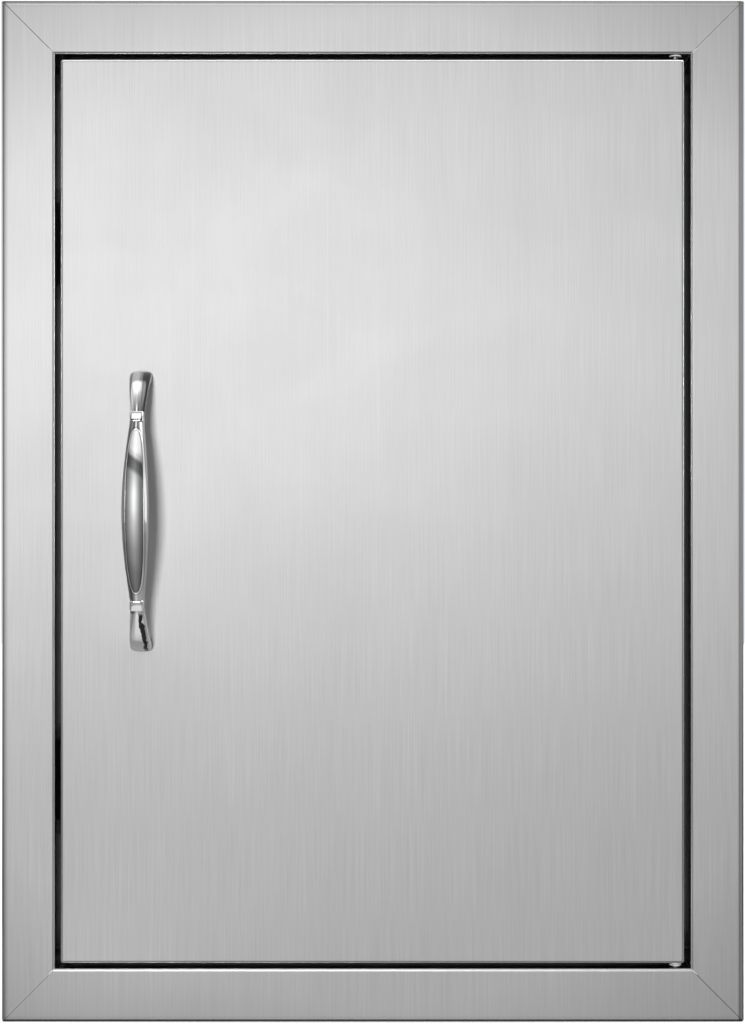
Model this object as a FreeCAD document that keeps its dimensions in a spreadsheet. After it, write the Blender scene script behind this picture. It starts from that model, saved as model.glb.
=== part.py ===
import FreeCAD, Part
import math
import os
import Sketcher
from FreeCAD import Placement, Rotation, Vector

# Access door for an outdoor kitchen island. A mitred steel frame lines a cut-out in the wall,
# and a double-walled door hangs in it on two pivot pins. The upper pin is sprung, so that the
# door lifts off.
# Millimetres. X runs along the wall to the hinge side, Y into the wall, Z up.
# The origin is the centre of the wall cut-out, in the plane of the wall's face.

doc = FreeCAD.newDocument("AccessDoor")
sizes = doc.addObject("Spreadsheet::Sheet", "Sizes")
places = doc.addObject("Spreadsheet::Sheet", "Places")
nodes = []

driving = {
    # frame
    "frame_width": 406.4,
    "frame_height": 558.8,
    "face_width": 29.4,
    "lip_depth": 8.0,
    "frame_gauge": 1.0,
    "frame_bend": 0.8,
    "jamb_depth": 42.0,
    "rear_flange": 10.0,
    "corner_round": 1.6,
    "mitre_seam": 0.12,
    "wall_screw_inset": 50.0,
    "wall_screw_depth": 32.0,
    "wall_screw_hole": 2.25,
    # door
    "door_depth": 20.0,
    "latch_gap": 2.8,
    "hinge_gap": 3.2,
    "end_gap": 2.5,
    "skin_gauge": 1.0,
    "skin_bend": 1.8,
    "skin_corner": 1.2,
    "hem_width": 14.0,
    "liner_gauge": 1.0,
    "liner_inset": 1.5,
    "press_margin": 45.0,
    "press_depth": 4.0,
    "press_corner": 12.0,
    "stiffener_gauge": 0.8,
    "stiffener_crown": 22.0,
    "stiffener_flange": 12.0,
    "stiffener_inset": 57.5,
    "stiffener_spacing": 130.0,
    # pivots
    "pivot_inset": 4.5,
    "pivot_depth": 5.0,
    "pin_radius": 2.0,
    "pin_clearance": 0.05,
    "seat_clearance": 0.05,
    "running_gap": 0.3,
    "bushing_wall": 0.55,
    "bushing_flange": 3.3,
    "flange_height": 0.6,
    "washer_height": 0.6,
    "shoulder_radius": 2.7,
    "plate_gauge": 2.0,
    "plate_length": 34.0,
    "plate_width": 20.0,
    "plate_end": 0.8,
    "bracket_gauge": 1.5,
    "bracket_length": 34.6,
    "bracket_web_end": 9.6,
    "bracket_back": 0.5,
    "lower_web_height": 32.0,
    "upper_web_height": 41.5,
    "pin_top_reach": 6.0,
    "lower_pin_reach": 7.5,
    "lower_sleeve_reach": 4.0,
    "pin_head_height": 0.8,
    "pin_head_rim": 0.8,
    # release pin
    "release_travel": 8.0,
    "clip_height": 0.8,
    "clip_radius": 3.2,
    "clip_groove": 1.5,
    "spring_wire": 0.6,
    "spring_radius": 2.75,
    "spring_turns": 5,
    "lever_drop": 9.0,
    "lever_gauge": 2.0,
    "lever_hub": 3.2,
    "lever_width": 8.0,
    "lever_offset": 12.1,
    "lever_reach": 8.0,
    "lever_tab": 10.0,
    "spigot_radius": 1.5,
    "slot_clearance": 0.6,
    # catches
    "catch_inset": 97.5,
    "catch_width": 16.0,
    "catch_depth": 15.0,
    "catch_height": 45.0,
    "catch_set_back": 1.2,
    "ear_width": 10.0,
    "ear_gauge": 2.5,
    "ear_margin": 1.45,
    "pole_gauge": 1.2,
    "pole_height": 32.0,
    "pole_depth": 12.0,
    "pole_offset": 10.0,
    "magnet_gauge": 4.0,
    "magnet_set_back": 0.8,
    "pocket_clearance": 0.1,
    "strike_gauge": 1.0,
    "strike_width": 10.5,
    "strike_height": 50.0,
    # fasteners
    "screw_radius": 1.45,
    "screw_head_radius": 2.8,
    "screw_head_height": 1.6,
    "hole_clearance": 0.1,
    # handle
    "handle_inset": 44.7,
    "handle_hole_spacing": 146.0,
    "foot_width": 11.8,
    "foot_thickness": 6.8,
    "leg_turn_inset": 1.0,
    "leg_turn_standoff": 14.0,
    "collar_place": 49.8,
    "collar_standoff": 20.5,
    "collar_width": 7.7,
    "collar_height": 5.6,
    "collar_thickness": 7.6,
    "collar_angle": 17.0,
    "bow_standoff": 30.5,
    "bow_width": 14.4,
    "bow_thickness": 9.0,
    "bow_end_width": 7.2,
    "bow_end_thickness": 6.8,
    "rim_length": 88.0,
    "rim_breadth": 10.4,
    "rim_width": 0.7,
    "rim_height": 0.4,
    "backing_gauge": 1.5,
    "backing_width": 24.0,
    "backing_length": 172.0,
    "handle_screw_radius": 2.0,
    "handle_screw_head_radius": 3.8,
    "handle_screw_head_height": 2.6,
    "handle_screw_reach": 3.8,
}

derived = {
    "opening_x": "Sizes.frame_width / 2 - Sizes.face_width",
    "opening_z": "Sizes.frame_height / 2 - Sizes.face_width",
    "front": "-Sizes.lip_depth",
    "frame_bend_outer": "Sizes.frame_bend + Sizes.frame_gauge",
    "door_left": "-opening_x + Sizes.latch_gap",
    "door_right": "opening_x - Sizes.hinge_gap",
    "door_top": "opening_z - Sizes.end_gap",
    "door_back": "front + Sizes.door_depth",
    "skin_inside": "front + Sizes.skin_gauge",
    "hem_back": "door_back - Sizes.liner_gauge",
    "hem_front": "hem_back - Sizes.skin_gauge",
    "panel_back": "door_back - Sizes.press_depth",
    "panel_front": "panel_back - Sizes.liner_gauge",
    "pivot_x": "door_right - Sizes.pivot_inset",
    "pivot_y": "front + Sizes.pivot_depth",
    "bore": "Sizes.pin_radius + Sizes.pin_clearance",
    "sleeve": "bore + Sizes.bushing_wall",
    "sleeve_hole": "sleeve + Sizes.seat_clearance",
    "plate_front": "front + frame_bend_outer + Sizes.running_gap / 2",
    "top_wall": "door_top - Sizes.skin_gauge",
    "bracket_left": "door_right - Sizes.skin_gauge - Sizes.bracket_length",
    "bracket_right": "door_right - Sizes.skin_gauge - Sizes.running_gap",
    "web_right": "door_right - Sizes.skin_gauge - Sizes.bracket_web_end",
    "bracket_bend": "Sizes.skin_bend - Sizes.skin_gauge + Sizes.seat_clearance",
    "ear_front": "skin_inside + bracket_bend + Sizes.seat_clearance",
    "ear_back": "hem_front - Sizes.bracket_back",
    "upper_ear": "top_wall - Sizes.bracket_gauge",
    "lower_ear": "top_wall - Sizes.upper_web_height",
    "spring_seat": "lower_ear + Sizes.bracket_gauge",
    "clip_top": "upper_ear - Sizes.flange_height - Sizes.running_gap",
    "clip_bottom": "clip_top - Sizes.clip_height",
    "pin_top": "opening_z + Sizes.pin_top_reach",
    "lever_top": "lower_ear - Sizes.lever_drop",
    "lever_bottom": "lever_top - Sizes.lever_gauge",
    "lever_right": "pivot_x - Sizes.lever_offset",
    "lever_left": "lever_right - Sizes.lever_width",
    "lever_back": "door_back + Sizes.lever_reach",
    "washer_bottom": "-door_top - Sizes.flange_height - Sizes.running_gap - Sizes.washer_height",
    "pole_front": "door_back + Sizes.strike_gauge + Sizes.running_gap",
    "catch_front": "pole_front + Sizes.catch_set_back",
    "catch_back": "catch_front + Sizes.catch_depth",
    "catch_middle": "catch_front + Sizes.catch_depth / 2",
    "pole_x": "-opening_x + Sizes.pole_offset",
    "pole_back": "pole_front + Sizes.pole_depth",
    "catch_z": "door_top - Sizes.catch_inset",
    "catch_screw_rise": "Sizes.catch_height / 2 + Sizes.screw_head_radius + Sizes.ear_margin",
    "catch_ear_rise": "catch_screw_rise + Sizes.screw_head_radius + Sizes.ear_margin",
    "stiffener_end": "door_top - Sizes.stiffener_inset",
    "wall_screw_z": "opening_z - Sizes.wall_screw_inset",
    "handle_x": "door_left + Sizes.handle_inset",
    "foot_z": "Sizes.handle_hole_spacing / 2",
}


def fill_sheet(target, cells, formula=False):
    for row, (name, content) in enumerate(cells.items(), 1):
        target.set(f"A{row}", name)
        target.set(f"B{row}", f"={content}" if formula else str(content))
        target.setAlias(f"B{row}", name)


fill_sheet(sizes, driving)
fill_sheet(places, derived, formula=True)
doc.recompute()


def value(expression):
    """The present value of an expression on the sheets."""
    return float(sizes.evalExpression(expression))


def new_body(node):
    body = doc.addObject("PartDesign::Body", node)
    body.Label = node
    nodes.append(body)
    return body


def bind(item, expressions):
    for name, expression in expressions.items():
        item.setExpression(name, expression)


# Sketches lie on a body's own origin planes. Along XZ the sketch's normal is -Y.
normal_sign = {"XY": 1, "XZ": -1, "YZ": 1}


def new_sketch(body, plane, at="0", shift=("0", "0")):
    sketch = body.newObject("Sketcher::SketchObject", "Sketch")
    role = f"{plane}_Plane"
    origin_plane = next(item for item in body.Origin.OriginFeatures if item.Role == role)
    sketch.AttachmentSupport = [(origin_plane, "")]
    sketch.MapMode = "FlatFace"
    away = at if normal_sign[plane] > 0 else f"-({at})"
    bind(
        sketch,
        {
            "AttachmentOffset.Base.x": shift[0],
            "AttachmentOffset.Base.y": shift[1],
            "AttachmentOffset.Base.z": away,
        },
    )
    return sketch


def constrain(sketch, expression, *terms):
    number = sketch.addConstraint(Sketcher.Constraint(*terms, value(expression)))
    sketch.setExpression(f"Constraints[{number}]", expression)


def place_point(sketch, geometry, vertex, point):
    constrain(sketch, point[0], "DistanceX", -1, 1, geometry, vertex)
    constrain(sketch, point[1], "DistanceY", -1, 1, geometry, vertex)


def join(sketch, first, second):
    sketch.addConstraint(Sketcher.Constraint("Coincident", first, 2, second, 1))


def draw_outline(sketch, corners):
    points = [Vector(value(x), value(y), 0) for x, y in corners]
    ends = points[1:] + points[:1]
    lines = [sketch.addGeometry(Part.LineSegment(a, b), False) for a, b in zip(points, ends)]
    for line, following in zip(lines, lines[1:] + lines[:1]):
        join(sketch, line, following)
    for line, corner in zip(lines, corners):
        place_point(sketch, line, 1, corner)


def draw_circle(sketch, point, radius):
    centre = Vector(value(point[0]), value(point[1]), 0)
    circle = Part.Circle(centre, Vector(0, 0, 1), value(radius))
    geometry = sketch.addGeometry(circle, False)
    place_point(sketch, geometry, 3, point)
    constrain(sketch, radius, "Radius", geometry)


def rectangle(left, low, right, high):
    return [(left, low), (right, low), (right, high), (left, high)]


def centred(width, height, x="0", y="0"):
    return rectangle(
        f"{x} - {width} / 2", f"{y} - {height} / 2", f"{x} + {width} / 2", f"{y} + {height} / 2"
    )


def extrude(body, kind, plane, low, high, outlines, circles):
    sketch = new_sketch(body, plane, low)
    for corners in outlines:
        draw_outline(sketch, corners)
    for point, radius in circles:
        draw_circle(sketch, point, radius)
    feature = body.newObject(f"PartDesign::{kind}", kind)
    feature.Profile = sketch
    feature.setExpression("Length", f"({high}) - ({low})")
    along_normal = normal_sign[plane] > 0
    feature.Reversed = not along_normal if kind == "Pad" else along_normal
    doc.recompute()
    return feature


def add(body, plane, low, high, outlines=(), circles=()):
    """Pad closed outlines and circles, from low to high along the plane's axis."""
    return extrude(body, "Pad", plane, low, high, outlines, circles)


def cut(body, plane, low, high, outlines=(), circles=()):
    """Pocket closed outlines and circles, from low to high, and make sure that it cuts."""
    before = body.Shape.Volume
    feature = extrude(body, "Pocket", plane, low, high, outlines, circles)
    if not body.Shape.Volume < before - 1e-6:
        states = [(item.Name, item.State) for item in body.Group if "Up-to-date" not in item.State]
        raise ValueError(f"a pocket in {body.Label} cuts nothing: {states}")
    return feature


def revolve(body, axis, spot, profile):
    """Turn a closed profile about an axis through the spot.

    Profile points are (radius, height) for Y and Z, and (length, radius) for X.
    """
    x, y, z = spot
    plane, at, shift, line = {
        "X": ("XY", z, ("0", y), "H_Axis"),
        "Y": ("XY", z, (x, "0"), "V_Axis"),
        "Z": ("XZ", y, (x, "0"), "V_Axis"),
    }[axis]
    sketch = new_sketch(body, plane, at, shift)
    draw_outline(sketch, profile)
    feature = body.newObject("PartDesign::Revolution", "Revolution")
    feature.Profile = sketch
    feature.ReferenceAxis = (sketch, [line])
    feature.Angle = 360
    doc.recompute()
    return feature


def edge_test(axis, **where):
    """A test for straight edges along an axis, with their middle at the given places."""
    wanted = {name: [value(item) for item in items] for name, items in where.items()}

    def test(edge):
        if edge.Degenerated or edge.Curve.TypeId != "Part::GeomLine":
            return False
        ends = edge.Vertexes[-1].Point - edge.Vertexes[0].Point
        if abs(abs(getattr(ends, axis)) - edge.Length) > 1e-6:
            return False
        middle = edge.CenterOfMass
        return all(
            any(abs(getattr(middle, name) - item) < 1e-4 for item in items)
            for name, items in wanted.items()
        )

    return test


def round_edges(body, radius, *tests):
    base = body.Tip
    picked = [
        f"Edge{number}"
        for number, edge in enumerate(base.Shape.Edges, 1)
        if any(test(edge) for test in tests)
    ]
    if not picked:
        raise ValueError(f"no edges to round in {body.Label}")
    feature = body.newObject("PartDesign::Fillet", "Fillet")
    feature.Base = (base, picked)
    feature.setExpression("Radius", radius)
    doc.recompute()
    return feature


# Frame


def cut_rounded_corner(body, end, side):
    """Round the frame's outer corner in plan. The cut runs a little past the sheet."""
    x = f"{end} * Sizes.frame_width / 2"
    z = f"{side} * Sizes.frame_height / 2"
    x_in = f"{x} - {end} * Sizes.corner_round"
    z_in = f"{z} - {side} * Sizes.corner_round"
    x_out = f"{x} + {end} * Sizes.corner_round"
    z_out = f"{z} + {side} * Sizes.corner_round"
    corners = [(x, z_in), (x_out, z_in), (x_out, z_out), (x_in, z_out), (x_in, z)]
    sketch = new_sketch(body, "XZ", "Places.front - Sizes.lip_depth")
    points = [Vector(value(a), value(b), 0) for a, b in corners]
    lines = [
        sketch.addGeometry(Part.LineSegment(a, b), False) for a, b in zip(points, points[1:])
    ]
    centre = Vector(value(x_in), value(z_in), 0)
    towards = Vector(end, side, 0).normalize()
    middle = centre + towards * value("Sizes.corner_round")
    arc = sketch.addGeometry(Part.Arc(points[-1], middle, points[0]), False)
    for line, following in zip(lines, lines[1:]):
        join(sketch, line, following)
    constrain(sketch, "Sizes.corner_round", "Radius", arc)
    for line, corner in zip(lines, corners):
        place_point(sketch, line, 1, corner)
    place_point(sketch, lines[-1], 2, corners[-1])
    first, last = (1, 2) if end * side > 0 else (2, 1)
    sketch.addConstraint(Sketcher.Constraint("Coincident", arc, last, lines[-1], 2))
    sketch.addConstraint(Sketcher.Constraint("Coincident", arc, first, lines[0], 1))
    before = body.Shape.Volume
    feature = body.newObject("PartDesign::Pocket", "Pocket")
    feature.Profile = sketch
    feature.setExpression("Length", "3 * Sizes.lip_depth")
    doc.recompute()
    if not body.Shape.Volume < before:
        raise ValueError(f"the corner of {body.Label} isn't rounded")


def rail_section(side, across):
    """The folded sheet's outline as (depth, across) points, from the lip to the rear flange."""
    outer = f"{side} * Sizes.{across} / 2"
    inner = f"{side} * (Sizes.{across} / 2 - Sizes.face_width)"
    gauge = f"{side} * Sizes.frame_gauge"
    front = "Places.front"
    front_inside = "Places.front + Sizes.frame_gauge"
    back = "Sizes.jamb_depth"
    back_inside = "Sizes.jamb_depth - Sizes.frame_gauge"
    flange = f"{inner} - {side} * Sizes.rear_flange"
    return [
        ("0", outer),
        (front, outer),
        (front, inner),
        (back_inside, inner),
        (back_inside, flange),
        (back, flange),
        (back, f"{inner} + {gauge}"),
        (front_inside, f"{inner} + {gauge}"),
        (front_inside, f"{outer} - {gauge}"),
        ("0", f"{outer} - {gauge}"),
    ]


def make_rail(node, level, side):
    """One mitred rail of folded sheet: level runs along X, upright along Z."""
    along, across = ("frame_width", "frame_height") if level else ("frame_height", "frame_width")
    axis, plane, other = ("x", "YZ", "z") if level else ("z", "XY", "x")
    section = rail_section(side, across)
    body = new_body(node)
    corners = section if level else [(b, a) for a, b in section]
    add(body, plane, f"-Sizes.{along} / 2", f"Sizes.{along} / 2", [corners])
    outer_bends = [section[1], section[2], section[6]]
    inner_bends = [section[3], section[7], section[8]]
    for radius, bends in (
        ("Places.frame_bend_outer", outer_bends),
        ("Sizes.frame_bend", inner_bends),
    ):
        tests = [edge_test(axis, **{"y": [depth], other: [reach]}) for depth, reach in bends]
        round_edges(body, radius, *tests)
    deep = "Sizes.face_width + 2 * Sizes.rear_flange"
    for end in (-1, 1):
        tip = f"{end} * (Sizes.{along} / 2 + Sizes.lip_depth - Sizes.mitre_seam)"
        root = f"{end} * (Sizes.{along} / 2 - ({deep}) - Sizes.mitre_seam)"
        past = f"{end} * (Sizes.{along} / 2 + 2 * Sizes.lip_depth)"
        high = f"{side} * (Sizes.{across} / 2 + Sizes.lip_depth)"
        low = f"{side} * (Sizes.{across} / 2 - ({deep}))"
        wedge = [(tip, high), (root, low), (past, low), (past, high)]
        if not level:
            wedge = [(b, a) for a, b in wedge]
        cut(body, "XZ", "2 * Places.front", "Sizes.jamb_depth + Sizes.lip_depth", [wedge])
        cut_rounded_corner(body, *((end, side) if level else (side, end)))
    return body


def drill_jamb_level(body, side, circles):
    """Holes through a level rail's jamb, down from above it."""
    near = f"{side} * Places.opening_z"
    middle = f"{near} + {side} * Sizes.frame_gauge / 2"
    cut(
        body,
        "XY",
        f"{middle} - Sizes.frame_gauge",
        f"{middle} + Sizes.frame_gauge",
        circles=circles,
    )


def drill_jamb_upright(body, side, circles):
    """Holes through an upright's jamb, from the opening."""
    middle = f"{side} * (Places.opening_x + Sizes.frame_gauge / 2)"
    cut(
        body,
        "YZ",
        f"{middle} - Sizes.frame_gauge",
        f"{middle} + Sizes.frame_gauge",
        circles=circles,
    )


pivot = ("Places.pivot_x", "Places.pivot_y")
plate_right = "Places.opening_x - Sizes.plate_end"
plate_left = f"{plate_right} - Sizes.plate_length"
plate_back = "Places.plate_front + Sizes.plate_width"
wall_screws = [("Sizes.wall_screw_depth", f"{side} * Places.wall_screw_z") for side in (-1, 1)]
catch_screws = [
    ("Places.catch_middle", f"{side} * Places.catch_z + {end} * Places.catch_screw_rise")
    for side in (-1, 1)
    for end in (-1, 1)
]
screw_hole = "Sizes.screw_radius + Sizes.seat_clearance"

for node, side, pin_hole in (
    ("top_rail", 1, "Places.sleeve_hole"),
    ("bottom_rail", -1, "Sizes.shoulder_radius + Sizes.seat_clearance"),
):
    rail = make_rail(node, True, side)
    drill_jamb_level(rail, side, [(pivot, pin_hole)])

for node, side, screws in (("latch_stile", -1, catch_screws), ("hinge_stile", 1, [])):
    stile = make_rail(node, False, side)
    holes = [(spot, "Sizes.wall_screw_hole") for spot in wall_screws]
    holes += [(spot, screw_hole) for spot in screws]
    drill_jamb_upright(stile, side, holes)


def make_pivot_plate(node, side, pin_hole):
    """The thick plate behind a level rail's jamb that carries a pivot."""
    near = f"{side} * (Places.opening_z + Sizes.frame_gauge)"
    far = f"{side} * (Places.opening_z + Sizes.frame_gauge + Sizes.plate_gauge)"
    low, high = (near, far) if side > 0 else (far, near)
    body = new_body(node)
    add(
        body,
        "XY",
        low,
        high,
        [rectangle(plate_left, "Places.plate_front", plate_right, plate_back)],
        [(pivot, pin_hole)],
    )
    round_edges(body, "Sizes.plate_gauge", edge_test("z", y=[plate_back]))


make_pivot_plate("upper_pivot_plate", 1, "Places.sleeve_hole")
make_pivot_plate("lower_pivot_plate", -1, "Sizes.shoulder_radius + Sizes.seat_clearance")


def turned(node, profile):
    """A piece turned about the pivot axis, from (radius, height) points."""
    body = new_body(node)
    revolve(body, "Z", (*pivot, "0"), profile)
    return body


def make_flanged_bushing(node, flange_far, seat, sleeve_end):
    turned(
        node,
        [
            ("Places.bore", flange_far),
            ("Sizes.bushing_flange", flange_far),
            ("Sizes.bushing_flange", seat),
            ("Places.sleeve", seat),
            ("Places.sleeve", sleeve_end),
            ("Places.bore", sleeve_end),
        ],
    )


make_flanged_bushing(
    "upper_pivot_bushing",
    "Places.opening_z - Sizes.flange_height",
    "Places.opening_z",
    "Places.opening_z + Sizes.frame_gauge + Sizes.plate_gauge",
)
rail_face = "-Places.opening_z"
plate_under = "-(Places.opening_z + Sizes.frame_gauge + Sizes.plate_gauge)"
lower_pin_top = "-Places.door_top + Sizes.lower_pin_reach"
turned(
    "lower_pivot_pin",
    [
        ("0", f"{plate_under} - Sizes.pin_head_height"),
        ("Sizes.shoulder_radius + Sizes.pin_head_rim", f"{plate_under} - Sizes.pin_head_height"),
        ("Sizes.shoulder_radius + Sizes.pin_head_rim", plate_under),
        ("Sizes.shoulder_radius", plate_under),
        ("Sizes.shoulder_radius", "Places.washer_bottom"),
        ("Sizes.pin_radius", "Places.washer_bottom"),
        ("Sizes.pin_radius", f"{lower_pin_top} - Sizes.pin_radius / 3"),
        ("Sizes.pin_radius * 2 / 3", lower_pin_top),
        ("0", lower_pin_top),
    ],
)
turned(
    "thrust_washer",
    [
        ("Places.bore", "Places.washer_bottom"),
        ("Sizes.bushing_flange", "Places.washer_bottom"),
        ("Sizes.bushing_flange", "Places.washer_bottom + Sizes.washer_height"),
        ("Places.bore", "Places.washer_bottom + Sizes.washer_height"),
    ],
)

# Magnetic catches on the latch side jamb, behind the door


def make_catch(prefix, side):
    z = f"{side} * Places.catch_z"
    jamb = "-Places.opening_x"
    stack = "Sizes.magnet_gauge + 2 * Sizes.pole_gauge"
    ends = [z_end for y, z_end in catch_screws if value(z_end) * side > 0]
    housing = new_body(f"{prefix}_catch_housing")
    add(
        housing,
        "XZ",
        "Places.catch_front",
        "Places.catch_back",
        [
            rectangle(
                jamb,
                f"{z} - Sizes.catch_height / 2",
                f"{jamb} + Sizes.catch_width",
                f"{z} + Sizes.catch_height / 2",
            )
        ],
    )
    round_edges(
        housing,
        "Sizes.pole_gauge",
        edge_test("y", x=[f"{jamb} + Sizes.catch_width"]),
        edge_test("z", x=[f"{jamb} + Sizes.catch_width"]),
    )
    add(
        housing,
        "YZ",
        jamb,
        f"{jamb} + Sizes.ear_gauge",
        [centred("Sizes.ear_width", "(2 * Places.catch_ear_rise)", "Places.catch_middle", z)],
    )
    round_edges(
        housing,
        "Sizes.ear_gauge",
        edge_test("x", z=[f"{z} - Places.catch_ear_rise", f"{z} + Places.catch_ear_rise"]),
    )
    cut(
        housing,
        "YZ",
        f"{jamb} - Sizes.ear_gauge",
        f"{jamb} + 2 * Sizes.ear_gauge",
        circles=[(("Places.catch_middle", spot), screw_hole) for spot in ends],
    )
    pocket_width = f"({stack} + 2 * Sizes.pocket_clearance)"
    pocket_height = "(Sizes.pole_height + 2 * Sizes.pocket_clearance)"
    cut(
        housing,
        "XZ",
        "Places.pole_front",
        "Places.pole_back",
        [centred(pocket_width, pocket_height, "Places.pole_x", z)],
    )
    magnet = new_body(f"{prefix}_catch_magnet")
    add(
        magnet,
        "XZ",
        "Places.pole_front + Sizes.magnet_set_back",
        "Places.pole_back",
        [centred("Sizes.magnet_gauge", "Sizes.pole_height", "Places.pole_x", z)],
    )
    poles = new_body(f"{prefix}_catch_poles")
    pole_shift = "(Sizes.magnet_gauge / 2 + Sizes.pole_gauge / 2)"
    add(
        poles,
        "XZ",
        "Places.pole_front",
        "Places.pole_back",
        [
            centred("Sizes.pole_gauge", "Sizes.pole_height", f"Places.pole_x + {end} * {pole_shift}", z)
            for end in (-1, 1)
        ],
    )
    screws = new_body(f"{prefix}_catch_screws")
    seat = f"{jamb} + Sizes.ear_gauge"
    tip = f"{jamb} - Sizes.frame_gauge - Sizes.screw_radius"
    for spot in ends:
        revolve(
            screws,
            "X",
            ("0", "Places.catch_middle", spot),
            [
                (tip, "0"),
                (tip, "Sizes.screw_radius"),
                (seat, "Sizes.screw_radius"),
                (seat, "Sizes.screw_head_radius"),
                (f"{seat} + Sizes.screw_head_height", "Sizes.screw_head_radius"),
                (f"{seat} + Sizes.screw_head_height", "0"),
            ],
        )


make_catch("upper", 1)
make_catch("lower", -1)

# Door

handle_holes = [("Places.handle_x", f"{side} * Places.foot_z") for side in (-1, 1)]

def make_door_skin():
    """The outer pan: front panel and four walls with rounded bends, and the hem inside them."""
    body = new_body("door_skin")
    add(
        body,
        "XZ",
        "Places.front",
        "Places.hem_back",
        [rectangle("Places.door_left", "-Places.door_top", "Places.door_right", "Places.door_top")],
    )
    sides = {"x": ["Places.door_left", "Places.door_right"]}
    round_edges(body, "Sizes.skin_corner", edge_test("y", **sides))
    base = body.Tip
    rim = [
        f"Edge{number}"
        for number, edge in enumerate(base.Shape.Edges, 1)
        if abs(edge.BoundBox.YMin - value("Places.front")) < 1e-6
        and edge.BoundBox.YLength < 1e-6
    ]
    bend = body.newObject("PartDesign::Fillet", "Bend")
    bend.Base = (base, rim)
    bend.setExpression("Radius", "Sizes.skin_bend")
    doc.recompute()
    inner = [f"{name} {sign} Sizes.skin_gauge" for name, sign in (
        ("Places.door_left", "+"),
        ("-Places.door_top", "+"),
        ("Places.door_right", "-"),
        ("Places.door_top", "-"),
    )]
    cut(body, "XZ", "Places.skin_inside", "Places.hem_back", [rectangle(*inner)])
    floor = {"y": ["Places.skin_inside"]}
    round_edges(
        body,
        "Sizes.skin_bend - Sizes.skin_gauge",
        edge_test("x", z=[inner[1], inner[3]], **floor),
        edge_test("z", x=[inner[0], inner[2]], **floor),
    )
    hem = [f"{name} {sign} Sizes.hem_width" for name, sign in zip(inner, "++--")]
    add(body, "XZ", "Places.hem_front", "Places.hem_back", [rectangle(*inner), rectangle(*hem)])
    cut(
        body,
        "XZ",
        "Places.front - Sizes.skin_gauge",
        "Places.skin_inside + Sizes.skin_gauge",
        circles=[(spot, "Sizes.handle_screw_radius + Sizes.hole_clearance") for spot in handle_holes],
    )
    for side in (-1, 1):
        middle = f"{side} * (Places.door_top - Sizes.skin_gauge / 2)"
        cut(
            body,
            "XY",
            f"{middle} - Sizes.skin_gauge",
            f"{middle} + Sizes.skin_gauge",
            circles=[(pivot, "Places.sleeve_hole")],
        )


def make_door_liner():
    """The inner pan: a flat border on the hem, and a panel pressed forwards to stiffen it."""
    body = new_body("door_liner")
    edge = [f"{name} {sign} Sizes.liner_inset" for name, sign in (
        ("Places.door_left", "+"),
        ("-Places.door_top", "+"),
        ("Places.door_right", "-"),
        ("Places.door_top", "-"),
    )]
    press = [f"{name} {sign} Sizes.press_margin" for name, sign in zip(edge, "++--")]
    bottom = [f"{name} {sign} Sizes.liner_gauge" for name, sign in zip(press, "++--")]
    add(body, "XZ", "Places.hem_back", "Places.door_back", [rectangle(*edge)])
    add(body, "XZ", "Places.panel_front", "Places.hem_back", [rectangle(*press)])
    cut(body, "XZ", "Places.panel_back", "Places.door_back", [rectangle(*bottom)])
    inner_corners = edge_test("y", x=[bottom[0], bottom[2]])
    round_edges(body, "Sizes.press_corner - Sizes.liner_gauge", inner_corners)
    round_edges(body, "Sizes.press_corner", edge_test("y", x=[press[0], press[2]]))
    cut(
        body,
        "XZ",
        "Places.hem_front",
        "Places.door_back + Sizes.liner_gauge",
        [
            rectangle(
                "Places.lever_left - Sizes.slot_clearance",
                "Places.lever_bottom - Sizes.release_travel - Sizes.slot_clearance",
                "Places.lever_right + Sizes.slot_clearance",
                "Places.lever_top + Sizes.slot_clearance",
            )
        ],
    )


def make_stiffener(node, side):
    """A hat section that ties the front panel to the pressed panel of the liner."""
    body = new_body(node)
    half = "Sizes.stiffener_crown / 2"
    thick = "Sizes.stiffener_gauge"
    foot = "Places.skin_inside"
    top = "Places.panel_front"
    centre = "(Places.door_left + Places.door_right) / 2"
    x = f"{centre} + {side} * Sizes.stiffener_spacing / 2"
    right = [
        (f"{half} - {thick}", f"{top} - {thick}"),
        (f"{half} - {thick}", foot),
        (f"{half} + Sizes.stiffener_flange", foot),
        (f"{half} + Sizes.stiffener_flange", f"{foot} + {thick}"),
        (half, f"{foot} + {thick}"),
        (half, top),
    ]
    left = [(f"-({across})", depth) for across, depth in reversed(right)]
    corners = [(f"{x} + ({across})", depth) for across, depth in right + left]
    add(body, "XY", "-Places.stiffener_end", "Places.stiffener_end", [corners])


make_door_skin()
make_door_liner()
make_stiffener("latch_side_stiffener", -1)
make_stiffener("hinge_side_stiffener", 1)

# Pivot brackets inside the door

ear_outline = [
    ("Places.bracket_left", "Places.skin_inside"),
    ("Places.web_right", "Places.skin_inside"),
    ("Places.web_right", "Places.ear_front"),
    ("Places.bracket_right", "Places.ear_front"),
    ("Places.bracket_right", "Places.ear_back"),
    ("Places.bracket_left", "Places.ear_back"),
]


def add_web(body, low, high):
    add(
        body,
        "XZ",
        "Places.skin_inside",
        "Places.skin_inside + Sizes.bracket_gauge",
        [rectangle("Places.bracket_left", low, "Places.web_right", high)],
    )


def make_upper_bracket():
    """A channel with two ears: the upper guides the pin, the lower carries its spring."""
    body = new_body("upper_pivot_bracket")
    add_web(body, "Places.lower_ear", "Places.top_wall")
    add(body, "XY", "Places.upper_ear", "Places.top_wall", [ear_outline], [(pivot, "Places.sleeve_hole")])
    add(body, "XY", "Places.lower_ear", "Places.spring_seat", [ear_outline], [(pivot, "Places.bore")])
    bends = edge_test("x", y=["Places.skin_inside"], z=["Places.top_wall", "Places.lower_ear"])
    round_edges(body, "Places.bracket_bend", bends)


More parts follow.
